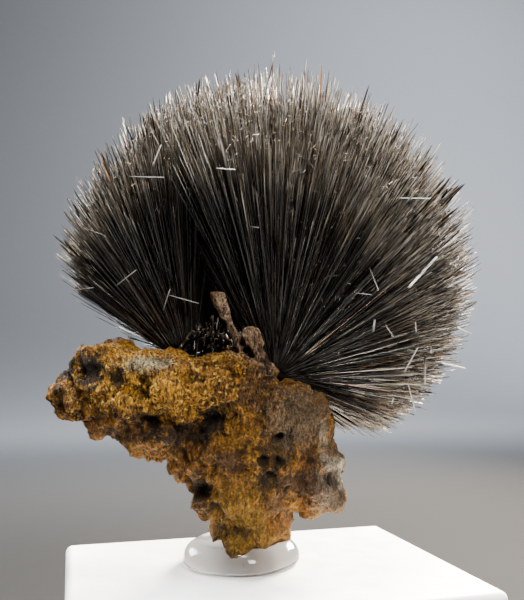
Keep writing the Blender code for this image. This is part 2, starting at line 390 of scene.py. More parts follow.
def final_mesh(obj):
    """The object's mesh with its modifiers applied, as a plain mesh."""
    bpy.context.view_layer.update()
    evaluated = obj.evaluated_get(bpy.context.evaluated_depsgraph_get())
    return bpy.data.meshes.new_from_object(evaluated)


def place_piece(obj, node):
    """The piece rides the one body and hides the CAD node that it stands for. Its material slot was given
    when it was made.
    """
    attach(obj, "root")
    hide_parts(node)
    print(f"{obj.name}: {triangles(obj.data)} triangles, stands for {node}")


# %% The block
EDGE_RADIUS = 0.6 * MM
EDGE_STEPS = 6

bm = bmesh.new()
raise_up = Matrix.Translation((0, 0, BLOCK_SIZE.z / 2))
bmesh.ops.create_cube(bm, size=1.0, matrix=raise_up @ Matrix.Diagonal((*BLOCK_SIZE, 1.0)))
block = new_object("acrylic_block", mesh_from("acrylic_block", bm), acrylic)
polish = block.modifiers.new("polished edges", "BEVEL")
polish.width = EDGE_RADIUS
polish.segments = EDGE_STEPS
polished = final_mesh(block)
block.modifiers.clear()
block.data = polished
for polygon in polished.polygons:
    polygon.use_smooth = polygon.area < (5 * MM) ** 2
place_piece(block, "display_block")

# %% [markdown]
# ## The adhesive bead
#
# The adhesive was laid as a thick drop and the rock's foot pressed into it. So it has a
# rounded rim, a slightly sunken middle, and a lip that climbs the foot. A lathe profile gives
# that section. Slow waves round the rim and one lobe at the left keep it from looking turned.
# The drop is one closed solid round the foot, with plain glass values for its clearness.

# %% The bead's shape
BEAD_CENTRE, BEAD_RADIUS = Vector((-1.8, 1.1, 0.0)), 5.0
BEAD_RIM = (
    (0.0, 0.0), (3.4, 0.0), (4.45, 0.02), (4.78, 0.14), (4.95, 0.38), (5.0, 0.7), (4.94, 1.05),
    (4.75, 1.4), (4.4, 1.72), (3.95, 1.92), (3.5, 1.93), (3.1, 1.87), (2.7, 1.95), (2.4, 2.2),
    (1.6, 2.3), (0.0, 2.3),
)
BEAD_STEPS = 96
LEFT_LOBE = {"angle": math.radians(192), "spread": 0.33, "rise": 0.35}
# The drop wets the block, so its underside lies just inside the acrylic, with no film of air.
BEAD_SUNK = 0.05


def bead_vertex(radius, height, angle):
    """A point of the bead, with its rim's slow waves and the lobe at the left."""
    share = radius / BEAD_RADIUS
    wave = 0.035 * math.sin(2 * angle + 0.6) + 0.018 * math.sin(5 * angle + 1.9)
    away = (angle - LEFT_LOBE["angle"] + math.pi) % math.tau - math.pi
    lobe = LEFT_LOBE["rise"] * math.exp(-((away / LEFT_LOBE["spread"]) ** 2))
    wide = radius * (1 + wave * share - 0.03 * share)
    tall = height * (1 + lobe * share * 0.5 + 0.05 * math.sin(3 * angle + 0.4) * share)
    return BEAD_CENTRE + Vector((wide * math.cos(angle), wide * math.sin(angle), tall - BEAD_SUNK))


bm = bmesh.new()
rings = []
for radius, height in BEAD_RIM:
    steps = BEAD_STEPS if radius else 1
    angles = [math.tau * step / steps for step in range(steps)]
    rings.append([bm.verts.new(bead_vertex(radius, height, angle) * MM) for angle in angles])
skin(bm, rings, BEAD_STEPS)
bead_mesh = mesh_from("adhesive_drop", bm)
bead_mesh.transform(on_block)
bead_mesh.shade_smooth()
print("Bead:", len(bead_mesh.polygons), "faces")

# %% [markdown]
# Set adhesive is clear with the faintest blue, and it refracts a little less than window
# glass. Its skin has slow dimples where it shrank, and a faint haze in its gloss.

# %% Clear adhesive
clear_values = {
    "Base Color": colour(0.97, 0.99, 1.0),
    "Transmission Weight": 1.0,
    "IOR": 1.41,
    "Metallic": 0.0,
}
adhesive, tree, shader, place = new_material("clear_adhesive", clear_values)
hazy = use_effect(tree, mottle, {"Place": place, "Scale": 0.9, "Low": 0.45, "High": 0.7})
dimples = noise_in(tree, place, 0.7)["Fac"]
tree.links.new(between(tree, hazy, 0.0, 1.0, 0.02, 0.07), shader.inputs["Roughness"])
tree.links.new(bump(tree, dimples, 0.12, 0.5), shader.inputs["Normal"])
bead = new_object("adhesive_drop", bead_mesh, adhesive)
place_piece(bead, "adhesive_bead")

# %% [markdown]
# ## The limonite rock
#
# The rock is a crust of rusty iron oxides: porous, grainy and craggy at every scale. The CAD
# node already has its main form, with the coated stub and blade that stand on its ledge. A
# merged copy of it is given an even, fine skin by a voxel remesh, and each point of that
# skin is then moved along its normal by layered noise. Noise in code can be read back, so
# how hollow each place is can also be kept, as an attribute that later paints shade into it.

# %% A fine skin over the CAD rock
SKIN_VOXEL = 0.15 * MM
EASING_STEPS = 5


def smoothed(obj, label, steps):
    """The object's mesh, smoothed. The object is thrown away."""
    modifier = obj.modifiers.new(label, "SMOOTH")
    modifier.factor, modifier.iterations = 0.5, steps
    mesh = final_mesh(obj)
    bpy.data.objects.remove(obj)
    return mesh


bm = bmesh.new()
bm.from_mesh(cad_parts["matrix"].data)
bmesh.ops.remove_doubles(bm, verts=bm.verts, dist=0.001 * MM)
rough_rock = new_object("limonite_rock", mesh_from("limonite_rock", bm), acrylic)
remesh = rough_rock.modifiers.new("even skin", "REMESH")
remesh.mode = "VOXEL"
remesh.voxel_size = SKIN_VOXEL
rock_mesh = smoothed(rough_rock, "facets eased", EASING_STEPS)
print("Skin:", len(rock_mesh.vertices), "points,", triangles(rock_mesh), "triangles")

# %% [markdown]
# Three layers of relief follow: crags about two millimetres wide, a knobbly crust of grains
# half a millimetre wide, and pores. The few large holes that give the front its face are
# listed, and so is the slit between the stub and the blade.

# %% Layers of relief
CRAG_WIDTH, CRAG_DEPTH = 2.0, 0.8
GRAIN_WIDTH, GRAIN_DEPTH = 0.5, 0.15
PORE_WIDTH, PORE_DEPTH = 0.95, 0.42

# Vector noise takes its offsets from the clock unless it is given a seed.
RELIEF_SEED = 11
noise.seed_set(RELIEF_SEED)

# Listed holes: centre, radius and depth, in the specimen's millimetres. The last six
# are the slit.
HOLES = (
    ((0.16, -3.6, 9.2), 0.6, 0.9),
    ((1.5, -3.4, 9.05), 0.55, 0.9),
    ((1.3, -3.3, 11.0), 0.4, 0.6),
    ((-4.85, -2.6, 8.95), 0.4, 0.6),
    ((-8.9, -3.1, 12.1), 0.75, 1.0),
    ((-9.6, -3.3, 12.6), 0.6, 0.7),
    ((-6.5, -2.6, 11.7), 0.9, 0.6),
    ((-5.4, -2.4, 11.6), 0.8, 0.6),
    ((-4.1, -2.8, 12.6), 0.9, 0.6),
    ((-5.1, -1.1, 6.3), 0.9, 0.8),
    ((-4.9, -1.2, 7.6), 0.7, 0.6),
    ((0.8, -3.2, 7.9), 0.5, 0.4),
    ((-11.9, -3.4, 15.7), 0.7, 0.35),
    ((-14.3, -3.2, 16.5), 0.9, 0.35),
    ((3.9, -2.4, 9.9), 0.5, 0.5),
    ((-1.5, -3.05, 18.7), 0.4, 0.7),
    ((-1.3, -3.1, 18.1), 0.4, 0.8),
    ((-1.1, -3.15, 17.5), 0.42, 0.9),
    ((-0.75, -3.2, 16.9), 0.45, 0.9),
    ((-0.4, -3.3, 16.3), 0.4, 0.7),
    ((0.1, -3.4, 17.1), 0.3, 0.4),
)


def pore_at(place):
    """How deep the pores are here, from 0 to 1: cell centres, only where a noise allows."""
    nearest = noise.voronoi(place / PORE_WIDTH)[0][0]
    allowed = noise.noise(place / 2.6 + Vector((7, 3, 1))) * 1.6 + 0.45
    return max(0.0, 1 - nearest / 0.42) * max(0.0, min(1.0, allowed))


def hole_at(place):
    """The listed hole here, as its depth in millimetres."""
    deepest = 0.0
    for centre, radius, depth in HOLES:
        away = (place - Vector(centre)).length / radius
        if away < 1.6:
            shaken = away + 0.35 * noise.noise(place / 0.4)
            deepest = max(deepest, depth * max(0.0, 1 - shaken**2))
    return deepest


def relief(place, crag_share):
    """(move along the normal in millimetres, how hollow the place is from 0 to 1)."""
    warped = place + noise.noise_vector(place / 1.3) * 0.35
    crags = noise.fractal(warped / CRAG_WIDTH, 0.95, 2.0, 4) * CRAG_DEPTH * crag_share
    grains = (noise.turbulence(warped / GRAIN_WIDTH, 3, True) - 0.45) * GRAIN_DEPTH
    pores, hole = pore_at(warped), hole_at(place)
    hollow = min(1.0, pores * 0.9 + hole * 1.3 + max(0.0, -crags) * 0.9)
    return crags + grains - pores * PORE_DEPTH - hole, hollow


print("Holes placed by hand:", len(HOLES))

# %% [markdown]
# The stub and the blade are too thin for crags, so they keep a quarter of them. They also
# lean a third of a millimetre further left than their solids, and the stub stands a little
# taller. The ledge's left end wears a thicker crust on top.

# %% Places where the skin is treated apart
STUB_CRAGS, STUB_LEAN, STUB_RISE = 0.25, -0.33, 0.25
LEDGE_CRUST = 0.75


def ramp(value, low, high):
    """0 at low and 1 at high, straight between them."""
    return min(1.0, max(0.0, (value - low) / (high - low)))


def on_stalks(spot):
    """1 on the stub and the blade, and 0 on the ledge that they stand on."""
    return ramp(spot.z, 17.0, 19.0) * (spot.y < -1.2) * ramp(spot.x, -6.0, -5.0)


def on_ledge_end(spot):
    """1 on top of the ledge's left end."""
    return ramp(spot.z, 16.2, 17.5) * ramp(spot.x, -8.0, -10.0) * ramp(spot.x, -17.0, -16.0)


print("Crags left on the stub and blade:", STUB_CRAGS)

# %% [markdown]
# Moving a skin along its normals leaves sharp crests. Weather rounds them on a real crust,
# and two steps of smoothing do here.

# %% Move the skin and wear its crests
WEAR_STEPS = 2

to_specimen_frame = on_block.inverted()
cavity_shade_depths = []
for vertex, normal in zip(rock_mesh.vertices, [v.normal.copy() for v in rock_mesh.vertices]):
    spot = (to_specimen_frame @ vertex.co) / MM
    stalk = on_stalks(spot)
    move, hollow = relief(spot, 1.0 + (STUB_CRAGS - 1.0) * stalk)
    rise = STUB_RISE * ramp(spot.z, 19.5, 22.5) * stalk + LEDGE_CRUST * on_ledge_end(spot)
    shift = on_block.to_3x3() @ Vector((STUB_LEAN * stalk, 0.0, rise))
    vertex.co += (normal * move + shift) * MM
    cavity_shade_depths.append(hollow)
# The hollow values are kept to darken pores, holes and low crags later, as painted shade.
kept = rock_mesh.attributes.new("hollow", "FLOAT", "POINT")
kept.data.foreach_set("value", np.array(cavity_shade_depths, np.float32))
rock_mesh = smoothed(new_object("sharp_rock", rock_mesh, acrylic), "crests worn", WEAR_STEPS)
rock_mesh.shade_smooth()
print("Hollowed share of the skin:", round(float(np.mean(np.array(cavity_shade_depths) > 0.5)), 2))

# %% [markdown]
# ## Limonite's colours
#
# Limonite runs from yellow ochre through rust to nearly black where it is dense or damp. The
# material lays these over each other as a painter would: a rusty ground, ochre where the
# crust is powdery, dark blotches and painted shade, grey films, and painted shade, nearly
# black, in the pores. Broad colours follow named places on the rock, and each edge is
# broken by noise.

# %% Rusty ground
RUST = colour(0.29, 0.097, 0.007)
BROWN = colour(0.06, 0.026, 0.008)
OCHRE = colour(0.56, 0.265, 0.018)
STRAW = colour(0.95, 0.58, 0.09)
OLIVE = colour(0.38, 0.22, 0.02)
BLACK_BROWN = colour(0.01, 0.007, 0.005)

dull_values = {"Metallic": 0.0, "Specular IOR Level": 0.25}
limonite, tree, shader, place = new_material("limonite_crust", dull_values)
broad = use_effect(tree, mottle, {"Place": place, "Scale": 0.42, "Low": 0.38, "High": 0.62})
middling = use_effect(tree, mottle, {"Place": place, "Scale": 1.3, "Low": 0.45, "High": 0.6})
fine = use_effect(tree, mottle, {"Place": place, "Scale": 4.2, "Detail": 6.0, "Low": 0.4, "High": 0.6})
ground = mix_colours(tree, broad, RUST, mix_colours(tree, 0.55, RUST, OCHRE))
ground = mix_colours(tree, maths(tree, "MULTIPLY", middling, 0.85), ground, BROWN)
ground = mix_colours(tree, maths(tree, "MULTIPLY", fine, 0.4), ground, OCHRE)
print("Ground of rust laid")


# %% Paint named areas, each a colour and how much of it shows
def paint(tree, under, areas, ragged, scale):
    """Each area laid over the colours so far, with its edge broken by noise."""
    for name, shade, strength, centre, radii in areas:
        values = {"Place": place, "Centre": centre, "Radii": radii, "Ragged": ragged, "Scale": scale}
        area = use_effect(tree, patch, values)
        under = mix_colours(tree, maths(tree, "MULTIPLY", area, strength), under, shade)
    print("Painted:", ", ".join(area[0] for area in areas))
    return under


OCHRES = (
    ("ledge ochre", OCHRE, 0.85, (-7.4, -4.0, 14.2), (4.4, 3.0, 1.7)),
    ("arm ochre", OCHRE, 0.6, (-13.6, -3.4, 14.5), (2.6, 3.0, 1.1)),
    ("foot ochre", OLIVE, 0.5, (-1.9, -1.6, 4.2), (2.6, 3.4, 3.4)),
    ("ledge top", OCHRE, 0.8, (-8.0, 0.0, 18.0), (8.0, 3.4, 1.0)),
    ("body ochre", OCHRE, 0.35, (-1.6, -3.4, 10.5), (2.6, 2.0, 2.2)),
)
painted = paint(tree, ground, OCHRES, 0.6, 1.5)

# %% [markdown]
# The ledge is powdery: grains a quarter of a millimetre wide, some straw yellow and some
# nearly black. Elsewhere the crust is smoother, so its grains show less.

# %% Grains
on_ledge = use_effect(
    tree, patch, {"Place": place, "Centre": (-8.0, -3.0, 15.4), "Radii": (9.5, 4.5, 2.8), "Ragged": 0.6}
)
crumb_values = {"Place": place, "Scale": 3.6}
grain_lot = use_effect(tree, crumbs, crumb_values, "Lot")
grain_gap = use_effect(tree, crumbs, crumb_values, "Gap")
is_bright, is_dark = between(tree, grain_lot, 0.68, 0.95), between(tree, grain_lot, 0.3, 0.05)
brightness = maths(tree, "MULTIPLY_ADD", on_ledge, 0.5, 0.16)
painted = mix_colours(tree, maths(tree, "MULTIPLY", is_bright, brightness), painted, STRAW)
darkness = maths(tree, "MULTIPLY_ADD", on_ledge, 0.3, 0.4)
painted = mix_colours(tree, maths(tree, "MULTIPLY", is_dark, darkness), painted, BROWN)
print("Grains laid")

# %% [markdown]
# Dense, dark limonite shows in blotches, and shade under the ledge and the arm, in recesses
# and low on the body is painted in as dark areas among them. Thin grey films of manganese
# and pale clay lie over parts of the crust: a pale patch on the ledge, a grey-brown cast on
# the right, and cream at the right edge. The stub and blade wear a dull brown coat, and shade
# is painted darker in their creases.

# %% Dark blotches and painted shade
# Painted shade, not dark limonite: 'underside', 'middle shade', 'recess', 'lower shade', 'under the arm',
# 'foot shade' and 'back recess' darken the rock where shade falls under the ledge and the arm, in recesses
# and low on the body. 'round the pits' darkens the rock round the pits.
BLOTCHES_AND_PAINTED_SHADE = (
    ("arm blotch", BLACK_BROWN, 0.95, (-14.1, -3.6, 16.6), (1.05, 2.0, 1.35)),
    ("arm blotch right", BLACK_BROWN, 0.85, (-11.8, -3.6, 15.7), (0.6, 2.0, 0.9)),
    ("left rim", BLACK_BROWN, 0.9, (-16.4, -1.6, 16.6), (1.0, 3.0, 1.0)),
    ("arm foot", BROWN, 0.8, (-10.6, -2.0, 12.9), (1.8, 2.4, 0.9)),
    ("underside", BLACK_BROWN, 0.75, (-6.6, -1.6, 11.3), (3.4, 2.6, 1.1)),
    ("middle shade", BLACK_BROWN, 0.8, (-4.2, -2.8, 12.2), (1.1, 1.8, 1.5)),
    ("recess", BLACK_BROWN, 0.75, (-5.2, -0.4, 6.6), (0.9, 2.4, 2.4)),
    ("lower shade", BLACK_BROWN, 0.75, (1.2, -2.8, 7.5), (1.8, 2.0, 1.0)),
    ("low right", BROWN, 0.8, (3.6, -2.0, 7.0), (1.6, 2.4, 1.4)),
    ("ledge end", BROWN, 0.7, (-0.6, -4.0, 14.6), (1.6, 2.0, 1.4)),
    ("mid body", BROWN, 0.8, (-2.6, -3.2, 9.2), (1.5, 2.0, 1.0)),
    ("under the arm", BLACK_BROWN, 0.6, (-10.4, -1.6, 11.2), (3.4, 2.4, 0.8)),
    ("foot shade", BROWN, 0.6, (1.1, -2.6, 5.4), (1.2, 2.0, 0.9)),
    ("left rust", BROWN, 0.45, (-15.2, -3.0, 14.6), (2.2, 3.0, 1.8)),
    ("back arm", BROWN, 0.8, (-11.5, 3.2, 14.5), (2.6, 2.0, 1.3)),
    ("back body", BLACK_BROWN, 0.6, (-3.0, 5.2, 12.0), (2.2, 2.0, 1.6)),
    ("back foot", BROWN, 0.75, (1.8, 4.0, 8.2), (2.0, 2.4, 1.8)),
    ("back recess", BLACK_BROWN, 0.6, (-4.6, 3.6, 7.6), (1.2, 2.0, 1.6)),
    ("round the pits", BLACK_BROWN, 0.65, (1.2, -3.6, 9.9), (1.6, 1.6, 1.5)),
)
painted = paint(tree, painted, BLOTCHES_AND_PAINTED_SHADE, 0.8, 1.9)

# %% Films, coats and painted shade in creases
GREY_BROWN = colour(0.2, 0.15, 0.1)
FLANK_GREY = colour(0.17, 0.135, 0.098)
PALE_GREY = colour(0.38, 0.34, 0.22)
CREAM = colour(0.85, 0.74, 0.56)
COAT = colour(0.42, 0.27, 0.17)
FILMS = (
    ("right film", GREY_BROWN, 0.75, (3.2, -3.0, 12.6), (3.0, 3.2, 2.6)),
    ("right flank", FLANK_GREY, 0.85, (5.8, -0.6, 7.4), (1.7, 3.0, 3.4)),
    ("pale patch", PALE_GREY, 0.75, (-9.3, -3.6, 17.0), (2.1, 1.6, 0.7)),
)
COATS = (
    ("blade coat", COAT, 0.85, (0.0, -2.8, 18.3), (1.9, 2.2, 2.6)),
    ("club coat", COAT, 1.0, (-2.6, -2.6, 20.8), (2.0, 1.8, 3.0)),
    ("clay", CREAM, 0.95, (7.0, -1.6, 7.9), (0.8, 2.2, 1.7)),
    ("clay streak", CREAM, 0.3, (5.1, -2.2, 10.4), (0.4, 2.0, 1.9)),
    ("clay chips", CREAM, 0.4, (5.9, -2.2, 8.6), (0.6, 1.6, 0.7)),
)
# Painted shade: these darken the creases at the blade's foot and side, and the shade under the blade and
# the club.
PAINTED_CREASE_SHADE = (
    ("blade foot", BLACK_BROWN, 0.8, (-0.4, -3.4, 16.5), (1.1, 1.6, 0.45)),
    ("blade side", BLACK_BROWN, 0.7, (0.5, -3.2, 16.9), (0.35, 1.6, 1.0)),
    ("blade shade", BROWN, 0.55, (-0.1, -3.2, 18.0), (1.3, 1.6, 1.7)),
    ("club shade", BROWN, 0.5, (-2.3, -3.0, 19.2), (0.7, 1.6, 1.0)),
)
painted = paint(tree, painted, FILMS, 0.75, 3.0)
painted = paint(tree, painted, COATS, 0.3, 2.0)
painted = paint(tree, painted, PAINTED_CREASE_SHADE, 0.8, 3.5)

# %% [markdown]
# Last come the finest marks, which give the crust its bite: upright fibres a sixth of a
# millimetre wide. They are strongest on the ledge and on the stub and blade. The attribute
# that was kept then darkens every pore and hole, and the low places of the crags, as
# painted shade.

# %% Fibres and pores
thread = use_effect(tree, fibres, {"Place": place, "Across": 5.5, "Along": 1.9})
on_stub = use_effect(
    tree, patch, {"Place": place, "Centre": (-1.2, -2.7, 20.0), "Radii": (4.5, 3.0, 3.2), "Ragged": 0.1}
)
strong = maths(tree, "MAXIMUM", on_ledge, on_stub)
darkest = maths(tree, "MULTIPLY_ADD", strong, -0.2, 0.29)
lightest = maths(tree, "MULTIPLY_ADD", strong, 0.5, 0.84)
contrast = between(tree, thread, 0.0, 1.0, darkest, lightest)
contrast = maths(tree, "MULTIPLY", contrast, maths(tree, "MULTIPLY_ADD", grain_gap, -0.35, 1.0))
grainy = vector_maths(tree, "SCALE", painted, contrast)
# Painted shade: the kept 'hollow' attribute darkens pores, holes and low crags towards black-brown.
cavity_shade_mask = add_node(tree, "ShaderNodeAttribute", attribute_name="hollow").outputs["Fac"]
painted_cavity_shade = maths(tree, "MULTIPLY", between(tree, cavity_shade_mask, 0.15, 0.75), 0.85)
tree.links.new(mix_colours(tree, painted_cavity_shade, grainy, BLACK_BROWN), shader.inputs["Base Color"])
print("Fibres and dark pores laid")

# %% The crust's dullness and fine bumps
tree.links.new(between(tree, fine, 0.0, 1.0, 0.72, 0.95), shader.inputs["Roughness"])
grit = noise_in(tree, place, 7.0, detail=5.0, roughness=0.7)["Fac"]
crust = bump(tree, maths(tree, "SUBTRACT", maths(tree, "MULTIPLY", thread, 1.2), grain_gap), 0.09)
tree.links.new(bump(tree, grit, 0.12, 0.9, under=crust), shader.inputs["Normal"])
rock = new_object("limonite_rock", rock_mesh, limonite)
place_piece(rock, "matrix")

# %% [markdown]
# ## The needles
#
# Each fan is tens of thousands of needles that start near one root and end on a common
# crown. That is a rule, so Geometry Nodes grow them. The tree scatters one point for each
# needle, picks it a direction, drops it where the fan doesn't grow, and works out its base
# and tip. Then it sets a unit needle there, stretched and turned along its line.
#
# The crown repeats the CAD source's values and the roots nearly do, so the needles fill the
# form of the CAD crystals. The limits differ in front, where the needles' edges are nearest to
# the eye: the right fan's are steeper than the CAD's, and the left fan's a little lower.

# %% The crown and the fans
CROWN_CENTRE = (0.5, 6.0, 26.1)
CROWN_RADII = (19.8, 16.2, 19.0)
DIVIDE_POINT = (-2.9, 2.0, 18.0)
DIVIDE_NORMAL = tuple(Vector((0.94, -0.3, 0.12)).normalized())

# Limits give the lowest elevation at each azimuth, both in degrees. Azimuth 0 is to the
# right and 90 to the back. "map_top" is where a needle ends on its map: below 1, less of its
# end is frosted.
RIGHT_FAN = {
    "map_top": 1.0,
    "values": {"Root": (1.1, -0.3, 16.0), "Core": (1.0, 0.8, 0.7), "Side": 1.0},
    "limits": (
        (0, -25), (45, -22), (90, -12), (105, -4), (120, 12), (135, 26), (150, 42), (180, 62),
        (225, 68), (270, 69), (300, 66), (320, 55), (335, 34), (345, 10), (353, -12), (360, -25),
    ),
}
LEFT_FAN = {
    "map_top": 0.94,
    "values": {"Root": (-6.6, 3.5, 18.0), "Core": (2.8, 1.2, 0.9), "Side": -1.0},
    "limits": (
        (0, 68), (30, 62), (45, 54), (60, 34), (75, 5), (90, 0), (110, 6), (135, 18),
        (150, 25), (180, 34), (200, 40), (225, 54), (270, 69), (315, 71), (360, 68),
    ),
}


def direction_at(turn, rise):
    """The unit vector at this azimuth and elevation, in degrees."""
    turn, rise = math.radians(turn), math.radians(rise)
    return Vector((math.cos(turn) * math.cos(rise), math.sin(turn) * math.cos(rise), math.sin(rise)))


def root_of(fan):
    return Vector(fan["values"]["Root"])


def lowest_at(fan, turn):
    return float(np.interp(turn, *zip(*fan["limits"])))


def past_divide(fan, spot):
    """How far the spot is on the fan's own side of the plane where the two fans meet."""
    return (spot - Vector(DIVIDE_POINT)).dot(Vector(DIVIDE_NORMAL)) * fan["values"]["Side"]


print("Crown radii:", CROWN_RADII, "mm")

# %% Named attributes carry values through a tree
POINT_KINDS = {"base": "FLOAT_VECTOR", "tip": "FLOAT_VECTOR"}


def keep_named(tree, geometry, label, value, domain="POINT", kind=None):
    """The geometry with this value stored on it under a name."""
    inputs = {"Geometry": geometry, "Name": label, "Value": value}
    settings = {"data_type": kind or POINT_KINDS.get(label, "FLOAT"), "domain": domain}
    return add_node(tree, "GeometryNodeStoreNamedAttribute", inputs, **settings).outputs[0]


def read_named(tree, label):
    settings = {"data_type": POINT_KINDS.get(label, "FLOAT")}
    return add_node(tree, "GeometryNodeInputNamedAttribute", {"Name": label}, **settings).outputs[0]


def start_tree(name, inputs):
    """A geometry tree with its named inputs, given as name: (socket kind, value)."""
    tree = bpy.data.node_groups.new(name, "GeometryNodeTree")
    for label, (kind, value) in inputs.items():
        socket = tree.interface.new_socket(label, in_out="INPUT", socket_type=kind)
        if value is not None:
            socket.default_value = value
    tree.interface.new_socket("Geometry", in_out="OUTPUT", socket_type="NodeSocketGeometry")
    return tree, add_node(tree, "NodeGroupInput").outputs


print("Attribute helpers ready")

# %% [markdown]
# ### One needle
#
# A needle a tenth of a millimetre thick needs few faces: a narrow base ring, a shoulder ring
# and a point, with three sides. The Cone node gives those rings, and moving them gives the
# profile. Pyrolusite's needles are blunt rods, so the shoulder sits close to the point. Each
# vertex keeps how far along the needle it is, which the finish will read.


# %% The unit needle
def unit_needle(tree, sides, base_width=0.55, shoulder=0.96):
    """A pointed prism one unit long. Its base and shoulder rings are moved from a cone's."""
    sizes = {"Vertices": sides, "Side Segments": 2, "Radius Top": 0.0}
    sizes.update({"Radius Bottom": 1.0, "Depth": 1.0})
    cone = add_node(tree, "GeometryNodeMeshCone", sizes, fill_type="NGON").outputs["Mesh"]
    x, y, z = axes(tree, add_node(tree, "GeometryNodeInputPosition").outputs[0])
    is_shoulder = maths(tree, "COMPARE", z, 0.5, 0.1)
    is_base = maths(tree, "COMPARE", z, 0.0, 0.1)
    swell = maths(tree, "MULTIPLY_ADD", is_base, base_width - 1.0, maths(tree, "ADD", is_shoulder, 1.0))
    raised = maths(tree, "MULTIPLY_ADD", is_shoulder, shoulder - 0.5, z)
    spot = joined(tree, maths(tree, "MULTIPLY", x, swell), maths(tree, "MULTIPLY", y, swell), raised)
    shaped = add_node(tree, "GeometryNodeSetPosition", {"Geometry": cone, "Position": spot}).outputs[0]
    x, y, z = axes(tree, add_node(tree, "GeometryNodeInputPosition").outputs[0])
    # Corners lean apart on the map, so that no face is a mere line on it.
    leaning = keep_named(tree, shaped, "lean", maths(tree, "MULTIPLY_ADD", y, 0.55, x))
    return keep_named(tree, leaning, "along", z)


print("The needle has a base, a shoulder and a point")

# %% [markdown]
# ### A needle on each line
#
# This part of the tree is used for the fans, the broken stubs and the loose needles alike.
# Each point knows its base, tip, width, roll and tone. The tree aims an instance from base to
# tip, makes all of them real, and writes the map that the finish reads: tone across, and
# base to tip along it.

# %% Set needles along their lines
NEEDLE_MAP = "OFBake"
MAP_LEAN, MAP_MARGIN = 0.008, 0.02
NEEDLE_FLATNESS = 0.75


def set_along_lines(tree, points, material, needle, map_top=1.0):
    base, tip = read_named(tree, "base"), read_named(tree, "tip")
    line = vector_maths(tree, "SUBTRACT", tip, base)
    aimed = add_node(tree, "FunctionNodeAlignRotationToVector", {"Vector": line}, axis="Z").outputs[0]
    rolls = {"Axis": (0, 0, 1), "Angle": read_named(tree, "roll")}
    roll = add_node(tree, "FunctionNodeAxisAngleToRotation", rolls).outputs[0]
    both = {"Rotation": aimed, "Rotate By": roll}
    turned = add_node(tree, "FunctionNodeRotateRotation", both, rotation_space="LOCAL").outputs[0]
    width = read_named(tree, "width")
    flatter = maths(tree, "MULTIPLY", width, NEEDLE_FLATNESS)
    size = joined(tree, width, flatter, vector_maths(tree, "LENGTH", line))
    moved = add_node(tree, "GeometryNodeSetPosition", {"Geometry": points, "Position": base}).outputs[0]
    placing = {"Points": moved, "Instance": needle, "Rotation": turned, "Scale": size}
    placed = add_node(tree, "GeometryNodeInstanceOnPoints", placing).outputs[0]
    real = add_node(tree, "GeometryNodeRealizeInstances", {"Geometry": placed}).outputs[0]
    across = maths(tree, "MULTIPLY_ADD", read_named(tree, "tone"), 1 - 2 * MAP_MARGIN, MAP_MARGIN)
    across = maths(tree, "MULTIPLY_ADD", read_named(tree, "lean"), MAP_LEAN, across)
    spot = joined(tree, across, maths(tree, "MULTIPLY", read_named(tree, "along"), map_top), 0.0)
    mapped = keep_named(tree, real, NEEDLE_MAP, spot, domain="CORNER", kind="FLOAT2")
    smoothing = {"Geometry": mapped, "Shade Smooth": False}
    flat = add_node(tree, "GeometryNodeSetShadeSmooth", smoothing).outputs[0]
    dressing = {"Geometry": flat, "Material": material}
    dressed = add_node(tree, "GeometryNodeSetMaterial", dressing).outputs[0]
    tree.links.new(dressed, add_node(tree, "NodeGroupOutput").inputs["Geometry"])


print("Needle map:", NEEDLE_MAP)

# %% [markdown]
# ### Directions
#
# Directions are even over a sphere: a random height and a random turn. Real needles grow in
# bundles, so each direction is then pulled towards the centre of its cell in a Voronoi
# pattern, at a fine and at a coarse scale. The gaps between bundles become the dark streaks
# that run out from the root.


# %% Random numbers, and bundled directions
def random_value(tree, seed, salt, low=0.0, high=1.0):
    """A random number for each point, the same on every run. Each use has its own salt."""
    node = add_node(tree, "FunctionNodeRandomValue", data_type="FLOAT")
    sockets = live_sockets(node.inputs)
    sockets["Min"].default_value, sockets["Max"].default_value = low, high
    tree.links.new(maths(tree, "ADD", seed, float(salt)), sockets["Seed"])
    return live_sockets(node.outputs)["Value"]


def random_step(tree, seed, salt):
    """A random vector, up to one unit along each axis."""
    return joined(tree, *(random_value(tree, seed, salt + place, -1.0, 1.0) for place in (0, 1, 2)))


def bundled(tree, direction, scale, pull):
    """The direction drawn towards its bundle's axis, and a random number for each bundle."""
    cells = {"Vector": direction, "Scale": scale, "Randomness": 1.0}
    bundle = add_node(tree, "ShaderNodeTexVoronoi", cells, voronoi_dimensions="3D", feature="F1")
    axis = vector_maths(tree, "NORMALIZE", bundle.outputs["Position"])
    step = vector_maths(tree, "SCALE", vector_maths(tree, "SUBTRACT", axis, direction), pull)
    moved = vector_maths(tree, "NORMALIZE", vector_maths(tree, "ADD", direction, step))
    lots = add_node(tree, "FunctionNodeSeparateColor", {"Color": bundle.outputs["Color"]})
    return moved, lots.outputs["Red"]


def scattered_direction(tree, given):
    """An even scatter over a sphere, gathered into bundles, with a random number for each."""
    height = random_value(tree, given["Seed"], 1, -1.0, 1.0)
    turn = random_value(tree, given["Seed"], 2, 0.0, math.tau)
    squared = maths(tree, "POWER", maths(tree, "ABSOLUTE", height), 2.0)
    flat = maths(tree, "SQRT", maths(tree, "SUBTRACT", 1.0, squared))
    east = maths(tree, "MULTIPLY", flat, maths(tree, "COSINE", turn))
    north = maths(tree, "MULTIPLY", flat, maths(tree, "SINE", turn))
    fine, lot = bundled(
        tree, joined(tree, east, north, height), given["Bundles Across"], given["Bundle Pull"]
    )
    wide = maths(tree, "MULTIPLY", given["Bundles Across"], 0.3)
    gathered, clump = bundled(tree, fine, wide, maths(tree, "MULTIPLY", given["Bundle Pull"], 0.35))
    return gathered, lot, clump


print("Directions: even on a sphere, then bundled")

# %% [markdown]
# ### Where a fan grows and how far it reaches
#
# A needle grows only above its fan's lowest elevation, which a Float Curve gives for each
# azimuth, and only on its fan's side of the plane where the two fans meet. It reaches to
# where its ray from the root leaves the crown's ellipsoid, less a random shortfall.


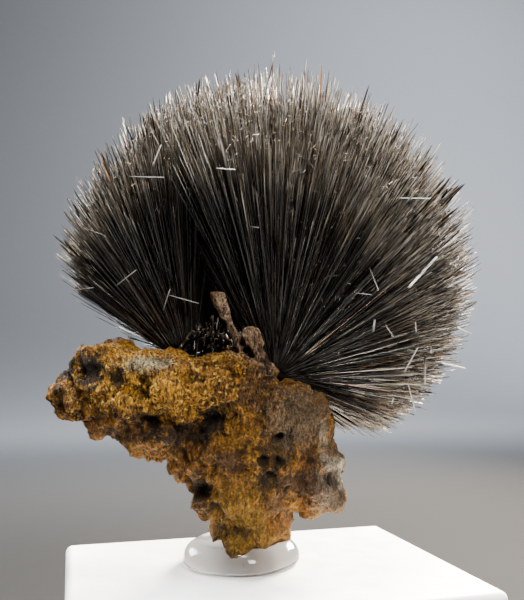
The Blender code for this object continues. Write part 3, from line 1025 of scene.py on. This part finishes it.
# %% Limits and reach
def degrees_above(tree, direction, limits):
    """How many degrees the direction is above the fan's lowest elevation at its azimuth."""
    east, north, up = axes(tree, direction)
    azimuth = maths(tree, "FRACT", maths(tree, "DIVIDE", maths(tree, "ARCTAN2", north, east), math.tau))
    curve = add_node(tree, "ShaderNodeFloatCurve", {"Value": azimuth})
    line = curve.mapping.curves[0]
    spots = [(angle / 360, lowest / 180 + 0.5) for angle, lowest in limits]
    line.points[0].location, line.points[1].location = spots[0], spots[-1]
    for spot in spots[1:-1]:
        line.points.new(*spot)
    for point in line.points:
        point.handle_type = "AUTO_CLAMPED"
    curve.mapping.update()
    lowest = maths(tree, "MULTIPLY", maths(tree, "SUBTRACT", curve.outputs[0], 0.5), 180.0)
    elevation = maths(tree, "DEGREES", maths(tree, "ARCSINE", up))
    return maths(tree, "SUBTRACT", elevation, lowest)


def crown_reach(tree, direction, given):
    """How far the crown's ellipsoid is from the root in this direction."""
    to_root = vector_maths(tree, "SUBTRACT", given["Root"], given["Crown Centre"])
    start = vector_maths(tree, "DIVIDE", to_root, given["Crown Radii"])
    step = vector_maths(tree, "DIVIDE", direction, given["Crown Radii"])
    along = vector_maths(tree, "DOT_PRODUCT", start, step)
    steps = vector_maths(tree, "DOT_PRODUCT", step, step)
    inside = maths(tree, "SUBTRACT", vector_maths(tree, "DOT_PRODUCT", start, start), 1.0)
    past = maths(tree, "MULTIPLY", steps, inside)
    term = maths(tree, "SUBTRACT", maths(tree, "MULTIPLY", along, along), past)
    return maths(tree, "DIVIDE", maths(tree, "SUBTRACT", maths(tree, "SQRT", term), along), steps)


print("Limits and reach ready")

# %% [markdown]
# ### The fan's tree
#
# The crystals branch as they grow, so the crown stays about as dense where it is far from
# the root as where it is near. The tree copies that in two ways: a needle in a short
# direction is more likely to be dropped, and many start part of the way out. Needles deep
# inside the fan can't be seen lower down, so all of those start far out. A few needles grow
# below the limit or lead their bundle past the rest, so that no edge is even.

# %% The tree's named inputs
FAN_INPUTS = {
    "Needles": ("NodeSocketInt", 1000),
    "Seed": ("NodeSocketInt", 1),
    "Needle Width": (FLOAT, 0.104),
    "Root": (VECTOR, None),
    "Core": (VECTOR, None),
    "Side": (FLOAT, 0.0),
    "Overlap": (FLOAT, 3.4),
    "Stub Length": (FLOAT, 0.0),
    "Crown Centre": (VECTOR, CROWN_CENTRE),
    "Crown Radii": (VECTOR, CROWN_RADII),
    "Divide Point": (VECTOR, DIVIDE_POINT),
    "Divide Normal": (VECTOR, DIVIDE_NORMAL),
    "Bundles Across": (FLOAT, 19.0),
    "Bundle Pull": (FLOAT, 0.2),
    "Stray": (FLOAT, 0.45),
    "Shortfall": (FLOAT, 0.12),
    "Lean": (FLOAT, 0.45),
}
print("Tree inputs:", ", ".join(FAN_INPUTS))

# %% How far each needle reaches
LONGEST_REACH = 29.0
MOST_OF_REACH = 0.985
FEW_SHORTER = 0.3
BUNDLE_SHORTFALL = 0.05
LEADING_SHARE, LEADING_REACH = 0.09, (0.94, 1.01)


def lengths(tree, given, direction, lot, clump):
    """How far each needle reaches, and the chance that it is kept there."""
    seed = given["Seed"]
    to_crown = crown_reach(tree, direction, given)
    is_stub = maths(tree, "GREATER_THAN", given["Stub Length"], 0.0)
    past_crown = maths(tree, "SUBTRACT", given["Stub Length"], to_crown)
    reach = maths(tree, "MULTIPLY_ADD", is_stub, past_crown, to_crown)
    short = maths(tree, "POWER", random_value(tree, seed, 3), 0.75)
    shorter = maths(tree, "MULTIPLY", maths(tree, "POWER", random_value(tree, seed, 4), 6.0), FEW_SHORTER)
    short = maths(tree, "MULTIPLY_ADD", short, given["Shortfall"], shorter)
    share = maths(tree, "SUBTRACT", MOST_OF_REACH, short)
    share = maths(tree, "MULTIPLY_ADD", lot, -BUNDLE_SHORTFALL, share)
    share = maths(tree, "MULTIPLY_ADD", clump, -BUNDLE_SHORTFALL, share)
    leads = maths(tree, "LESS_THAN", random_value(tree, seed, 14), LEADING_SHARE)
    leading = maths(tree, "MULTIPLY", leads, random_value(tree, seed, 15, *LEADING_REACH))
    share = maths(tree, "MAXIMUM", share, leading)
    chance = maths(tree, "POWER", maths(tree, "DIVIDE", to_crown, LONGEST_REACH), 1.5)
    return maths(tree, "MULTIPLY", reach, share), maths(tree, "MAXIMUM", chance, is_stub)


print("Longest reach:", LONGEST_REACH, "mm")

# %% Where each needle starts and ends
SKIN_DEGREES = (7.0, 13.0)
DEEP_START = 0.6
SKIN_SPAN, DEEP_SPAN = 0.58, 0.25


def lines_of_growth(tree, given, direction, reach, above):
    """Each needle's base and tip. Near the fan's skin it starts anywhere, and deep inside far out."""
    lean = vector_maths(tree, "SCALE", random_step(tree, given["Seed"], 17), given["Lean"])
    tip = vector_maths(tree, "ADD", given["Root"], vector_maths(tree, "SCALE", direction, reach))
    tip = vector_maths(tree, "ADD", tip, lean)
    core = vector_maths(tree, "MULTIPLY_ADD", direction, given["Core"], given["Root"])
    late = maths(tree, "POWER", random_value(tree, given["Seed"], 5), 2.2)
    deep = between(tree, above, *SKIN_DEGREES, smooth=True)
    deep = maths(tree, "MULTIPLY", deep, maths(tree, "LESS_THAN", given["Stub Length"], 0.01))
    first = maths(tree, "MULTIPLY", deep, DEEP_START)
    span = maths(tree, "MULTIPLY_ADD", deep, DEEP_SPAN - SKIN_SPAN, SKIN_SPAN)
    start = maths(tree, "MULTIPLY_ADD", late, span, first)
    stray = maths(tree, "MULTIPLY", given["Stray"], maths(tree, "MULTIPLY_ADD", start, 1.4, 0.3))
    stray = vector_maths(tree, "SCALE", random_step(tree, given["Seed"], 6), stray)
    outwards = vector_maths(tree, "SCALE", vector_maths(tree, "SUBTRACT", tip, core), start)
    return vector_maths(tree, "ADD", vector_maths(tree, "ADD", core, outwards), stray), tip


print("Deep needles start past", DEEP_START, "of their way")

# %% The whole tree
RAGGED_DEGREES = 6.0


def fan_tree(name, limits, material, sides=3, map_top=1.0):
    tree, given = start_tree(name, FAN_INPUTS)
    seed = given["Seed"]
    direction, lot, clump = scattered_direction(tree, given)
    above = degrees_above(tree, direction, limits)
    reach, chance = lengths(tree, given, direction, lot, clump)
    ragged = maths(tree, "POWER", random_value(tree, seed, 16), 5.0)
    ragged = maths(tree, "MULTIPLY", ragged, RAGGED_DEGREES)
    inside = maths(tree, "GREATER_THAN", maths(tree, "ADD", above, ragged), 0.0)
    base, tip = lines_of_growth(tree, given, direction, reach, above)
    from_divide = vector_maths(tree, "SUBTRACT", tip, given["Divide Point"])
    depth = vector_maths(tree, "DOT_PRODUCT", from_divide, given["Divide Normal"])
    over = maths(tree, "MULTIPLY", given["Overlap"], random_value(tree, seed, 13, 0.2, 2.2))
    own_side = maths(tree, "GREATER_THAN", maths(tree, "MULTIPLY_ADD", depth, given["Side"], over), 0.0)
    kept = maths(tree, "LESS_THAN", random_value(tree, seed, 9), chance)
    grows = maths(tree, "MULTIPLY", inside, maths(tree, "MULTIPLY", own_side, kept))
    thick = maths(tree, "POWER", random_value(tree, seed, 10), 2.5)
    width = maths(tree, "MULTIPLY_ADD", thick, 0.42, 0.33)
    width = maths(tree, "MULTIPLY", width, given["Needle Width"])
    own_tone = maths(tree, "MULTIPLY", random_value(tree, seed, 11), 0.7)
    tone = maths(tree, "MULTIPLY_ADD", lot, 0.3, own_tone)
    values = {
        "base": base, "tip": tip, "width": width, "tone": tone,
        "roll": random_value(tree, seed, 12, 0.0, math.tau),
        "grows": grows,
    }
    # A point's random numbers follow its place in the list, so all of its values are kept
    # before any point is dropped.
    points = add_node(tree, "GeometryNodePoints", {"Count": given["Needles"]}).outputs[0]
    for label, value in values.items():
        points = keep_named(tree, points, label, value)
    bare = maths(tree, "LESS_THAN", read_named(tree, "grows"), 0.5)
    cleared = {"Geometry": points, "Selection": bare}
    left = add_node(tree, "GeometryNodeDeleteGeometry", cleared, domain="POINT").outputs[0]
    set_along_lines(tree, left, material, unit_needle(tree, sides), map_top)
    return tree


print("Fan tree ready")

# %% [markdown]
# A tree works as a modifier. Its inputs are set by their sockets' identifiers, the result is
# read off as a plain mesh, and the object that carried the modifier is thrown away.

# %% Turn a tree's result into a mesh
SCAFFOLD = {"base", "tip", "width", "tone", "roll", "grows", "lean", "along"}


def grow(name, tree, values, seedling_mesh=None):
    """The mesh that the tree makes from these inputs, carried onto the block."""
    seedling = bpy.data.objects.new(name, seedling_mesh or bpy.data.meshes.new(name + "_seed"))
    bpy.context.scene.collection.objects.link(seedling)
    modifier = seedling.modifiers.new(name, "NODES")
    modifier.node_group = tree
    sockets = {
        item.name: item.identifier
        for item in tree.interface.items_tree
        if item.item_type == "SOCKET" and item.in_out == "INPUT"
    }
    for label, value in values.items():
        modifier[sockets[label]] = value
    mesh = final_mesh(seedling)
    bpy.data.objects.remove(seedling)
    for label in [attribute.name for attribute in mesh.attributes if attribute.name in SCAFFOLD]:
        mesh.attributes.remove(mesh.attributes[label])
    mesh.transform(on_block @ Matrix.Scale(MM, 4))
    return mesh


print("Scaffold attributes removed after growing:", len(SCAFFOLD))

# %% [markdown]
# ## Pyrolusite's finish
#
# The needles are steely black with a dull metallic gleam, and their outer ends are frosted
# grey-brown by fine growth steps and dust. The shader reads the map that each needle
# carries: one direction of it is the needle's own tone, the other runs from base to point.
# Most needles are nearly black and some are painted bright, as painted glints of facets that catch the
# light.
# The frost starts at a different place on each needle and thins again at its very end.


# %% Steel and frost
DARK_STEEL, GLINT_STEEL = colour(0.004, 0.004, 0.005), colour(0.95, 0.93, 0.9)
BROWNED_STEEL, ROOT_SHADE_BROWN = colour(0.15, 0.07, 0.032), colour(0.01, 0.008, 0.006)


def needle_lot(tree, shelf, step):
    """A random number from 0 to 1 for each needle. Another step gives another number."""
    inputs = {"W": maths(tree, "ADD", shelf, step)}
    return add_node(tree, "ShaderNodeTexWhiteNoise", inputs, noise_dimensions="1D").outputs["Value"]


def steel_and_frost(name, glint_share, frosted, frosted_share, frosts):
    """A needle's finish, which depends on nothing but its map.

    A share of the needles are painted bright as glints and a share are frosted, between the two
    places given along the needle, in a colour between the two frosts.
    """
    steel_values = {"IOR": 1.7, "Specular Tint": colour(0.35, 0.33, 0.3)}
    finish, tree, shader, _ = new_material(name, steel_values)
    on_map = add_node(tree, "ShaderNodeUVMap", uv_map=NEEDLE_MAP).outputs["UV"]
    tone, along, _ = axes(tree, on_map)
    stretched = add_node(tree, "ShaderNodeMapping", {"Vector": on_map, "Scale": (160.0, 9.0, 1.0)})
    growth_steps = noise_in(tree, stretched.outputs["Vector"], 1.0, detail=3.0)["Fac"]
    shelf = maths(tree, "FLOOR", maths(tree, "MULTIPLY", tone, 400.0))
    lot, other_lot = needle_lot(tree, shelf, 0.0), needle_lot(tree, shelf, 0.5)

    # Painted glint: a share of the needles are coloured bright steel, for facets that catch the light.
    painted_glint = between(tree, lot, 1.0 - glint_share, 1.0 - glint_share * 0.3, smooth=True)
    steel = mix_colours(tree, painted_glint, DARK_STEEL, GLINT_STEEL)
    browned = between(tree, tone, 0.55, 0.9, 0.0, 0.75)
    steel = mix_colours(tree, browned, steel, BROWNED_STEEL)
    steel = mix_colours(tree, maths(tree, "MULTIPLY", growth_steps, 0.6), steel, DARK_STEEL)

    first_frost = maths(tree, "MULTIPLY_ADD", other_lot, -0.2, frosted[0])
    stepped = maths(tree, "MULTIPLY_ADD", growth_steps, 0.1, along)
    frost = between(tree, stepped, first_frost, 1.03, smooth=True)
    thinning = between(tree, along, frosted[1], frosted[1] + 0.07, 1.0, 0.25)
    frost = maths(tree, "MULTIPLY", frost, thinning)
    frost_colour = mix_colours(tree, maths(tree, "POWER", lot, 1.6), *frosts)
    clean = 1.0 - frosted_share
    covered = between(tree, other_lot, clean - 0.1, clean + 0.1, 0.06, 0.95)
    covered = maths(tree, "MULTIPLY", frost, covered)
    shown = mix_colours(tree, covered, steel, frost_colour)
    # Painted shade: the first eighth of each needle is near-black and not metal, for the shade near the
    # roots.
    painted_root_shade = between(tree, along, 0.12, 0.0)
    shown = mix_colours(tree, painted_root_shade, shown, ROOT_SHADE_BROWN)

    plain = maths(tree, "MAXIMUM", frost, painted_root_shade)
    gleam = between(tree, lot, 0.0, 1.0, 0.22, 0.45)
    tree.links.new(shown, shader.inputs["Base Color"])
    tree.links.new(between(tree, plain, 0.0, 1.0, 1.0, 0.05), shader.inputs["Metallic"])
    tree.links.new(maths(tree, "MULTIPLY_ADD", plain, 0.3, gleam), shader.inputs["Roughness"])
    print("Finish:", name)
    return finish


TAN_FROSTS = colour(0.085, 0.055, 0.028), colour(0.8, 0.67, 0.45)
needle_finish = steel_and_frost("needle_finish", 0.47, (0.95, 0.91), 0.5, TAN_FROSTS)

# %% [markdown]
# Near its root a spray is packed solid: the needles touch, and nothing shows between them but
# black. A dark body with a ragged end fills the inner part of each fan, a few degrees inside
# the fan's limits. It follows the same crown, and it saves growing the needles that would be
# buried in it.

# %% The packed heart of each fan
HEART_MARGIN_DEGREES = 5.5
HEART_SHARE, PAST_DIVIDE_SHARE = (0.56, 0.7), 0.4
HEART_TURNS, HEART_RINGS = 90, 18

heart_finish, tree, shader, place = new_material("packed_heart_finish", {"Metallic": 0.4, "Roughness": 0.6})
packed = use_effect(tree, fibres, {"Place": place, "Across": 4.0, "Along": 0.8})
heart_colour = mix_colours(tree, packed, colour(0.004, 0.004, 0.004), colour(0.016, 0.014, 0.013))
tree.links.new(heart_colour, shader.inputs["Base Color"])


def reach_to_crown(root, out):
    """How far the crown's ellipsoid is from the root in this direction, as in the fan's tree."""
    start = Vector((r - c) / a for r, c, a in zip(root, CROWN_CENTRE, CROWN_RADII))
    step = Vector(o / a for o, a in zip(out, CROWN_RADII))
    along, steps, inside = start.dot(step), step.dot(step), start.dot(start) - 1
    return (math.sqrt(along * along - steps * inside) - along) / steps


def heart_mesh(name, fan, seed):
    """A closed body from the fan's root out towards the crown."""
    draw, root = np.random.default_rng(seed), root_of(fan)
    bm = bmesh.new()

    def spot(turn, rise):
        out = direction_at(turn, rise)
        reach = reach_to_crown(root, out)
        own_side = past_divide(fan, root + out * reach) > 0
        share = draw.uniform(*HEART_SHARE) * (1.0 if own_side else PAST_DIVIDE_SHARE)
        return bm.verts.new(root + out * reach * share)

    rings = [[bm.verts.new(root)]]
    turns = [360 * step / HEART_TURNS for step in range(HEART_TURNS)]
    lows = [lowest_at(fan, turn) + HEART_MARGIN_DEGREES for turn in turns]
    for ring in range(HEART_RINGS):
        up = ring / HEART_RINGS
        rings.append([spot(turn, low + (90 - low) * up) for turn, low in zip(turns, lows)])
    rings.append([spot(0, 90)])
    skin(bm, rings, HEART_TURNS)
    mesh = mesh_from(name, bm)
    mesh.transform(on_block @ Matrix.Scale(MM, 4))
    return mesh


for name, fan, seed in (("right_heart", RIGHT_FAN, 1), ("left_heart", LEFT_FAN, 2)):
    heart = new_object(name, heart_mesh(name, fan, seed), heart_finish)
    place_piece(heart, "needle_spray")

# %% [markdown]
# A piece stays under 200,000 triangles, so a fan may be grown in several sowings. All of a
# fan's sowings share its tree and its bundles and differ only in their seed.

# %% Grow the fans
NEEDLE_TRIANGLE_LIMIT = 200_000


def grow_fan(name, fan, sowings, needles):
    tree = fan_tree(name, fan["limits"], needle_finish, map_top=fan["map_top"])
    for sowing in range(1, sowings + 1):
        values = {**fan["values"], "Needles": needles, "Seed": 100 * sowing + len(name)}
        mesh = grow(f"{name}_{sowing}", tree, values)
        assert triangles(mesh) < NEEDLE_TRIANGLE_LIMIT, f"{name} has too many triangles"
        piece = new_object(f"{name}_{sowing}", mesh, needle_finish)
        place_piece(piece, "needle_spray")


grow_fan("right_needles", RIGHT_FAN, 3, 84_000)
grow_fan("left_needles", LEFT_FAN, 1, 180_000)

# %% [markdown]
# ### Broken stubs
#
# The hollow between the fans was knocked out at some time. Its floor bristles with the
# stumps of short, thick needles that lean every way. Most are black, and a few are painted
# bright as glints. The fan's own tree grows them, with a short reach, a wide stray and four sides.

# %% Stubs on the hollow's floor
STUBS = {
    "Root": (-3.7, 1.7, 16.9), "Core": (5.4, 1.9, 1.25), "Side": 0.0, "Overlap": 1.0,
    "Stub Length": 4.2, "Needle Width": 0.24, "Stray": 1.2, "Shortfall": 0.6,
    "Needles": 4600, "Seed": 77,
}
STUB_LIMITS = ((0, 40), (90, 15), (180, 40), (270, 36), (360, 40))

stub_finish = steel_and_frost("stub_finish", 0.3, (1.0, 1.0), 0.2, TAN_FROSTS)
stub_tree = fan_tree("broken_stubs", STUB_LIMITS, stub_finish, sides=4)
stubs = new_object("broken_stubs", grow("broken_stubs", stub_tree, STUBS), stub_finish)
place_piece(stubs, "needle_spray")

# %% [markdown]
# ### Long and loose needles
#
# A few needles outgrew their neighbours and stand clear of the crown. Others broke off and
# lie caught across the spray, painted pale along their length as painted glints where their
# sides catch the light. Each is placed by its two ends, in the specimen's millimetres, and by
# its half-width.

# %% Where the long and the loose ones are
LONG_NEEDLES = (
    ((-1.1, -3.0, 34.2), (1.1, -3.0, 43.9), 0.11),
    ((5.2, 0.0, 38.0), (5.35, 0.0, 44.1), 0.08),
    ((-2.3, -2.0, 34.0), (-2.9, -2.0, 42.4), 0.1),
    ((-8.6, -1.0, 34.0), (-10.0, -1.0, 40.1), 0.09),
    ((7.0, -2.4, 21.8), (16.4, -2.0, 32.8), 0.09),
    ((9.4, -2.4, 25.6), (17.1, -2.0, 32.3), 0.07),
    ((10.2, -1.5, 24.0), (17.6, -1.5, 29.6), 0.06),
    ((-12.6, -0.5, 31.0), (-14.6, -0.5, 36.0), 0.06),
    ((1.5, 0.5, 37.0), (1.9, 0.5, 43.6), 0.06),
    ((9.0, 0.0, 35.0), (11.0, 0.0, 40.6), 0.06),
)
LOOSE_NEEDLES = (
    ((-11.2, -4.1, 32.5), (-8.1, -4.2, 32.4), 0.04), ((-3.7, -6.2, 32.6), (-2.1, -7.2, 32.2), 0.06),
    ((-12.7, -0.8, 23.7), (-10.7, -1.9, 25.0), 0.06), ((-15.0, -2.1, 28.5), (-13.2, -3.1, 27.7), 0.05),
    ((-8.3, -0.7, 23.0), (-5.6, 1.6, 22.4), 0.045), ((-9.0, -4.7, 33.3), (-8.3, -4.9, 35.0), 0.045),
    ((-5.3, -5.1, 36.0), (-4.4, -5.9, 33.1), 0.045), ((-1.0, -5.9, 27.9), (-0.2, -6.0, 27.8), 0.06),
    ((-16.8, 0.6, 23.5), (-15.0, 1.0, 23.8), 0.035), ((-8.7, 0.2, 21.6), (-8.0, -0.5, 23.5), 0.045),
    ((11.5, -6.2, 22.9), (14.3, -4.6, 25.7), 0.12), ((8.4, -6.8, 24.5), (9.2, -6.2, 22.7), 0.06),
    ((10.7, -6.1, 30.2), (14.0, -4.3, 30.6), 0.05), ((11.5, -3.9, 16.2), (12.7, -4.0, 18.3), 0.06),
    ((13.5, -2.9, 17.6), (13.9, -0.9, 15.3), 0.12), ((12.2, -1.9, 15.6), (13.3, 0.2, 12.8), 0.055),
    ((10.9, -2.6, 14.3), (11.0, -1.3, 13.6), 0.08), ((13.9, -3.4, 18.5), (14.1, -2.6, 17.9), 0.08),
    ((15.2, -1.3, 17.1), (17.2, -1.7, 16.6), 0.09), ((16.6, -0.9, 21.5), (18.5, 0.6, 20.9), 0.06),
    ((16.7, -0.9, 20.2), (18.0, -1.1, 19.5), 0.06), ((8.9, -5.0, 19.5), (9.0, -5.3, 20.5), 0.08),
    ((9.8, -5.4, 20.1), (10.5, -5.2, 19.1), 0.07), ((12.3, -5.1, 20.4), (12.5, -4.4, 19.5), 0.08),
    ((11.2, -3.7, 34.6), (12.8, -1.6, 34.6), 0.05), ((7.3, -5.7, 22.6), (8.7, -6.1, 22.4), 0.045),
    ((14.2, -4.4, 26.0), (16.4, -2.6, 27.6), 0.05),
)


def scattered_loose(count, seed):
    """More loose needles at the back and top. Each lies nearly flat on the crown."""
    draw = np.random.default_rng(seed)
    for _ in range(count):
        out = direction_at(draw.uniform(-10, 190), draw.uniform(-15, 75))
        spot = Vector(CROWN_CENTRE) + Vector(a * r for a, r in zip(out, CROWN_RADII)) * 0.94
        along = out.cross(Vector(draw.normal(size=3))).normalized() + out * draw.uniform(-0.3, 0.3)
        half = along * draw.uniform(0.5, 1.6)
        yield spot - half, spot + half, draw.uniform(0.03, 0.06)


print("Long needles:", len(LONG_NEEDLES), "and loose ones:", len(LOOSE_NEEDLES))

# %% [markdown]
# Here and there a whole tuft of needles leads the crown. A tuft is placed by its tip, and its
# needles gather towards it from along the line to the fan's root.

# %% Tufts: the fan, the tuft's tip, and how many needles are in it
TUFTS = (
    (RIGHT_FAN, (17.6, -1.0, 33.0), 16), (RIGHT_FAN, (16.7, -1.2, 33.6), 12),
    (RIGHT_FAN, (15.4, -0.6, 35.8), 8), (RIGHT_FAN, (16.9, -1.4, 30.6), 10),
    (RIGHT_FAN, (18.2, -0.5, 29.4), 7), (RIGHT_FAN, (18.7, 1.0, 25.6), 7),
    (RIGHT_FAN, (3.8, 0.0, 44.4), 5), (RIGHT_FAN, (-2.6, -1.0, 43.6), 5),
    (RIGHT_FAN, (9.5, -0.5, 41.5), 6), (RIGHT_FAN, (12.8, 0.0, 38.8), 6),
    (LEFT_FAN, (-9.9, 0.0, 40.2), 6), (LEFT_FAN, (-14.6, 0.5, 36.3), 6),
    (LEFT_FAN, (-17.4, 1.0, 31.8), 6), (LEFT_FAN, (-18.4, 2.0, 28.4), 6),
)


def tuft_lines(seed):
    """The needles of every tuft, each from a place on its fan's lower half to its tip."""
    draw = np.random.default_rng(seed)
    for fan, tip, count in TUFTS:
        root, tip = root_of(fan), Vector(tip)
        for _ in range(count):
            end = tip + (root - tip) * draw.uniform(0.0, 0.06) + Vector(draw.normal(0.0, 0.3, 3))
            start = root.lerp(tip, draw.uniform(0.35, 0.7)) + Vector(draw.normal(0.0, 0.25, 3))
            yield start, end, draw.uniform(0.045, 0.085)


print("Tufts:", len(TUFTS), "with", sum(count for _, _, count in TUFTS), "needles")

# %% [markdown]
# Snapped needles leave slivers a fraction of a millimetre long, which lodge in the spray at
# any slant. About half are caught in a fan's lower skin, and half among the tips. A sliver
# is kept only on its own fan's side of the dividing plane.


# %% Slivers
def sliver_lines(count, seed):
    draw = np.random.default_rng(seed)
    while count:
        fan = RIGHT_FAN if draw.random() < 0.75 else LEFT_FAN
        root, turn = root_of(fan), draw.uniform(0, 360)
        low = lowest_at(fan, turn)
        rise, share = low + draw.uniform(-0.5, 1.5), draw.uniform(0.4, 0.96)
        if draw.random() < 0.5:
            rise, share = draw.uniform(low, 85), draw.uniform(0.88, 0.97)
        out = direction_at(turn, rise)
        spot = root + out * reach_to_crown(root, out) * share
        half = Vector(draw.normal(size=3)).normalized() * draw.uniform(0.08, 0.32)
        if past_divide(fan, spot) > 0:
            count -= 1
            yield spot - half, spot + half, draw.uniform(0.018, 0.035)


print("Sliver lines ready")

# %% [markdown]
# A small tree takes the lines from a mesh of points and sets a blunt, four-sided needle on
# each. The mesh carries each needle's ends, half-width, roll and tone as attributes.


# %% A mesh of points, and the tree that reads it
def points_for(name, lines, seed):
    """A mesh of bare points that carries each needle's ends, half-width, roll and tone."""
    mesh = bpy.data.meshes.new(name)
    mesh.from_pydata([base for base, _, _ in lines], [], [])
    draw = np.random.default_rng(seed)
    values = {
        "base": [base for base, _, _ in lines],
        "tip": [tip for _, tip, _ in lines],
        "width": [half_width for _, _, half_width in lines],
        "roll": draw.uniform(0, math.tau, len(lines)),
        "tone": draw.uniform(0, 1, len(lines)),
    }
    for label, numbers in values.items():
        vectors = label in POINT_KINDS
        kept = mesh.attributes.new(label, "FLOAT_VECTOR" if vectors else "FLOAT", "POINT")
        kept.data.foreach_set("vector" if vectors else "value", np.array(numbers, np.float32).ravel())
    return mesh


def line_tree(name, material, sides, base_width, shoulder):
    tree, given = start_tree(name, {"Points": ("NodeSocketGeometry", None)})
    needle = unit_needle(tree, sides, base_width, shoulder)
    set_along_lines(tree, given["Points"], material, needle)
    return tree


print("Needles can be set on any lines")

# %% Set the long needles, the slivers and the loose needles
PAINTED_GLINT_WHITES = colour(0.45, 0.43, 0.4), colour(0.95, 0.95, 0.95)
SLIVER_FROSTS = colour(0.18, 0.12, 0.07), colour(0.85, 0.68, 0.45)
# Painted glints: each finish's bright share is the share of needles coloured bright, and the loose needles
# are coloured bright and pale along their length, for sides that catch the light.
dark_finish = steel_and_frost("dark_needle_finish", 0.05, (1.02, 0.9), 0.0, TAN_FROSTS)
painted_glint_finish = steel_and_frost("painted_glint_needle_finish", 1.0, (-0.3, 1.1), 1.0, PAINTED_GLINT_WHITES)
sliver_finish = steel_and_frost("sliver_finish", 0.5, (-0.3, 1.1), 0.7, SLIVER_FROSTS)

LINE_SETS = (
    ("long_needles", [*LONG_NEEDLES, *tuft_lines(seed=9)], dark_finish, 0.9, 0.95),
    ("slivers", [*sliver_lines(2400, seed=5)], sliver_finish, 1.0, 0.9),
    ("loose_needles", [*LOOSE_NEEDLES, *scattered_loose(30, seed=8)], painted_glint_finish, 1.0, 0.97),
)
for name, lines, finish, base_width, shoulder in LINE_SETS:
    tree = line_tree(name, finish, 4, base_width, shoulder)
    mesh = grow(name, tree, {}, points_for(name + "_points", lines, seed=3))
    place_piece(new_object(name, mesh, finish), "needle_spray")

# %% [markdown]
# ## The studio
#
# A plain floor sweeps up behind the specimen into a plain backdrop, so no horizon shows. The
# paper is darker near the block, so that the strong lights on the needles don't wash it out.
# Two soft lights at the back and one above rim the needles' tips and brighten the block. One
# in front, at the right, fills the shadows, and two more wash the floor and the backdrop.

# %% The paper: one long sheet
SWEEP_WIDTH, FLOOR_FRONT, FLOOR_BACK, SWEEP_RADIUS, WALL_TOP = 2.0, -0.6, 0.35, 0.45, 1.2
SWEEP_STEPS = 24

bm = bmesh.new()
line = [(FLOOR_FRONT, 0.0), (FLOOR_BACK, 0.0)]
for step in range(1, SWEEP_STEPS + 1):
    angle = math.radians(90) * step / SWEEP_STEPS
    rise = SWEEP_RADIUS * (1 - math.cos(angle))
    line.append((FLOOR_BACK + SWEEP_RADIUS * math.sin(angle), rise))
line.append((FLOOR_BACK + SWEEP_RADIUS, WALL_TOP))
across = [[bm.verts.new((side * SWEEP_WIDTH / 2, y, z)) for side in (-1, 1)] for y, z in line]
for (left, right), (left_next, right_next) in zip(across, across[1:]):
    bm.faces.new((left, right, right_next, left_next))
sweep_mesh = mesh_from("floor_sweep", bm)
sweep_mesh.shade_smooth()
print("Sweep faces:", len(sweep_mesh.polygons))

# %% The paper's finish
DULL_PAPER = {"Roughness": 0.9, "Specular IOR Level": 0.035, "Specular Tint": colour(0.84, 0.93, 1.0)}
DARK_UNTIL, PALE_FROM, PAPER_SHADES = 0.04, 0.28, (0.011, 0.112)

paper, tree, shader, _ = new_material("backdrop_paper", DULL_PAPER)
metres = add_node(tree, "ShaderNodeTexCoord").outputs["Object"]
fibre = noise_in(tree, metres, 300.0)["Fac"]
shade = mix_colours(tree, fibre, colour(0.88, 0.91, 0.96), colour(0.97, 1.0, 1.07))
graded = between(tree, axes(tree, metres)[1], DARK_UNTIL, PALE_FROM, *PAPER_SHADES, smooth=True)
tree.links.new(vector_maths(tree, "SCALE", shade, graded), shader.inputs["Base Color"])
sweep = new_object("floor_sweep", sweep_mesh, paper)
sweep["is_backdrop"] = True
print("Finish:", paper.name)

# %% Lights
SPECIMEN = (0.0, 0.0, 0.03)
LIGHTS = (
    # name, place and target in metres, width and height in metres, beam in degrees, watts, colour
    ("back_left", (-0.17, 0.2, 0.19), SPECIMEN, (0.14, 0.12), 50, 0.26, (0.97, 0.98, 1.0)),
    ("back_right", (0.2, 0.19, 0.17), SPECIMEN, (0.14, 0.12), 50, 2.1, (1.0, 0.87, 0.7)),
    ("overhead", (0.02, 0.02, 0.3), SPECIMEN, (0.16, 0.16), 50, 0.75, (1.0, 0.98, 0.94)),
    ("front_fill", (0.08, -0.27, 0.235), SPECIMEN, (0.12, 0.12), 90, 0.48, (1.0, 0.97, 0.92)),
    ("floor_wash", (0.36, 0.3, 0.34), (0.0, 0.26, 0.0), (0.3, 0.2), 50, 1.4, (0.96, 0.98, 1.0)),
    ("backdrop_wash", (0.52, 0.22, 0.56), (0.4, 0.8, 0.12), (0.5, 0.3), 150, 22.0, (0.93, 0.96, 1.0)),
)
for name, spot, target, size, beam, watts, tint in LIGHTS:
    lamp = bpy.data.lights.new(name, "AREA")
    lamp.shape = "RECTANGLE"
    lamp.size, lamp.size_y = size
    lamp.spread = math.radians(beam)
    lamp.energy = watts
    lamp.color = tint
    lit = bpy.data.objects.new(name, lamp)
    lit.location = spot
    lit.rotation_euler = (Vector(target) - Vector(spot)).to_track_quat("-Z", "Y").to_euler()
    bpy.context.scene.collection.objects.link(lit)

world = bpy.data.worlds.new("studio")
world.use_nodes = True
background = world.node_tree.nodes["Background"]
background.inputs["Color"].default_value = colour(0.8, 0.82, 0.85)
background.inputs["Strength"].default_value = 0.06
bpy.context.scene.world = world
print("Lights:", ", ".join(light[0] for light in LIGHTS))

# %% Compare the finished size with the CAD model's
looks_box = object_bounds()
for label, (low, high) in (("CAD", cad_box), ("looks", looks_box)):
    print(label, "size in mm:", [round(value / MM, 2) for value in high - low])
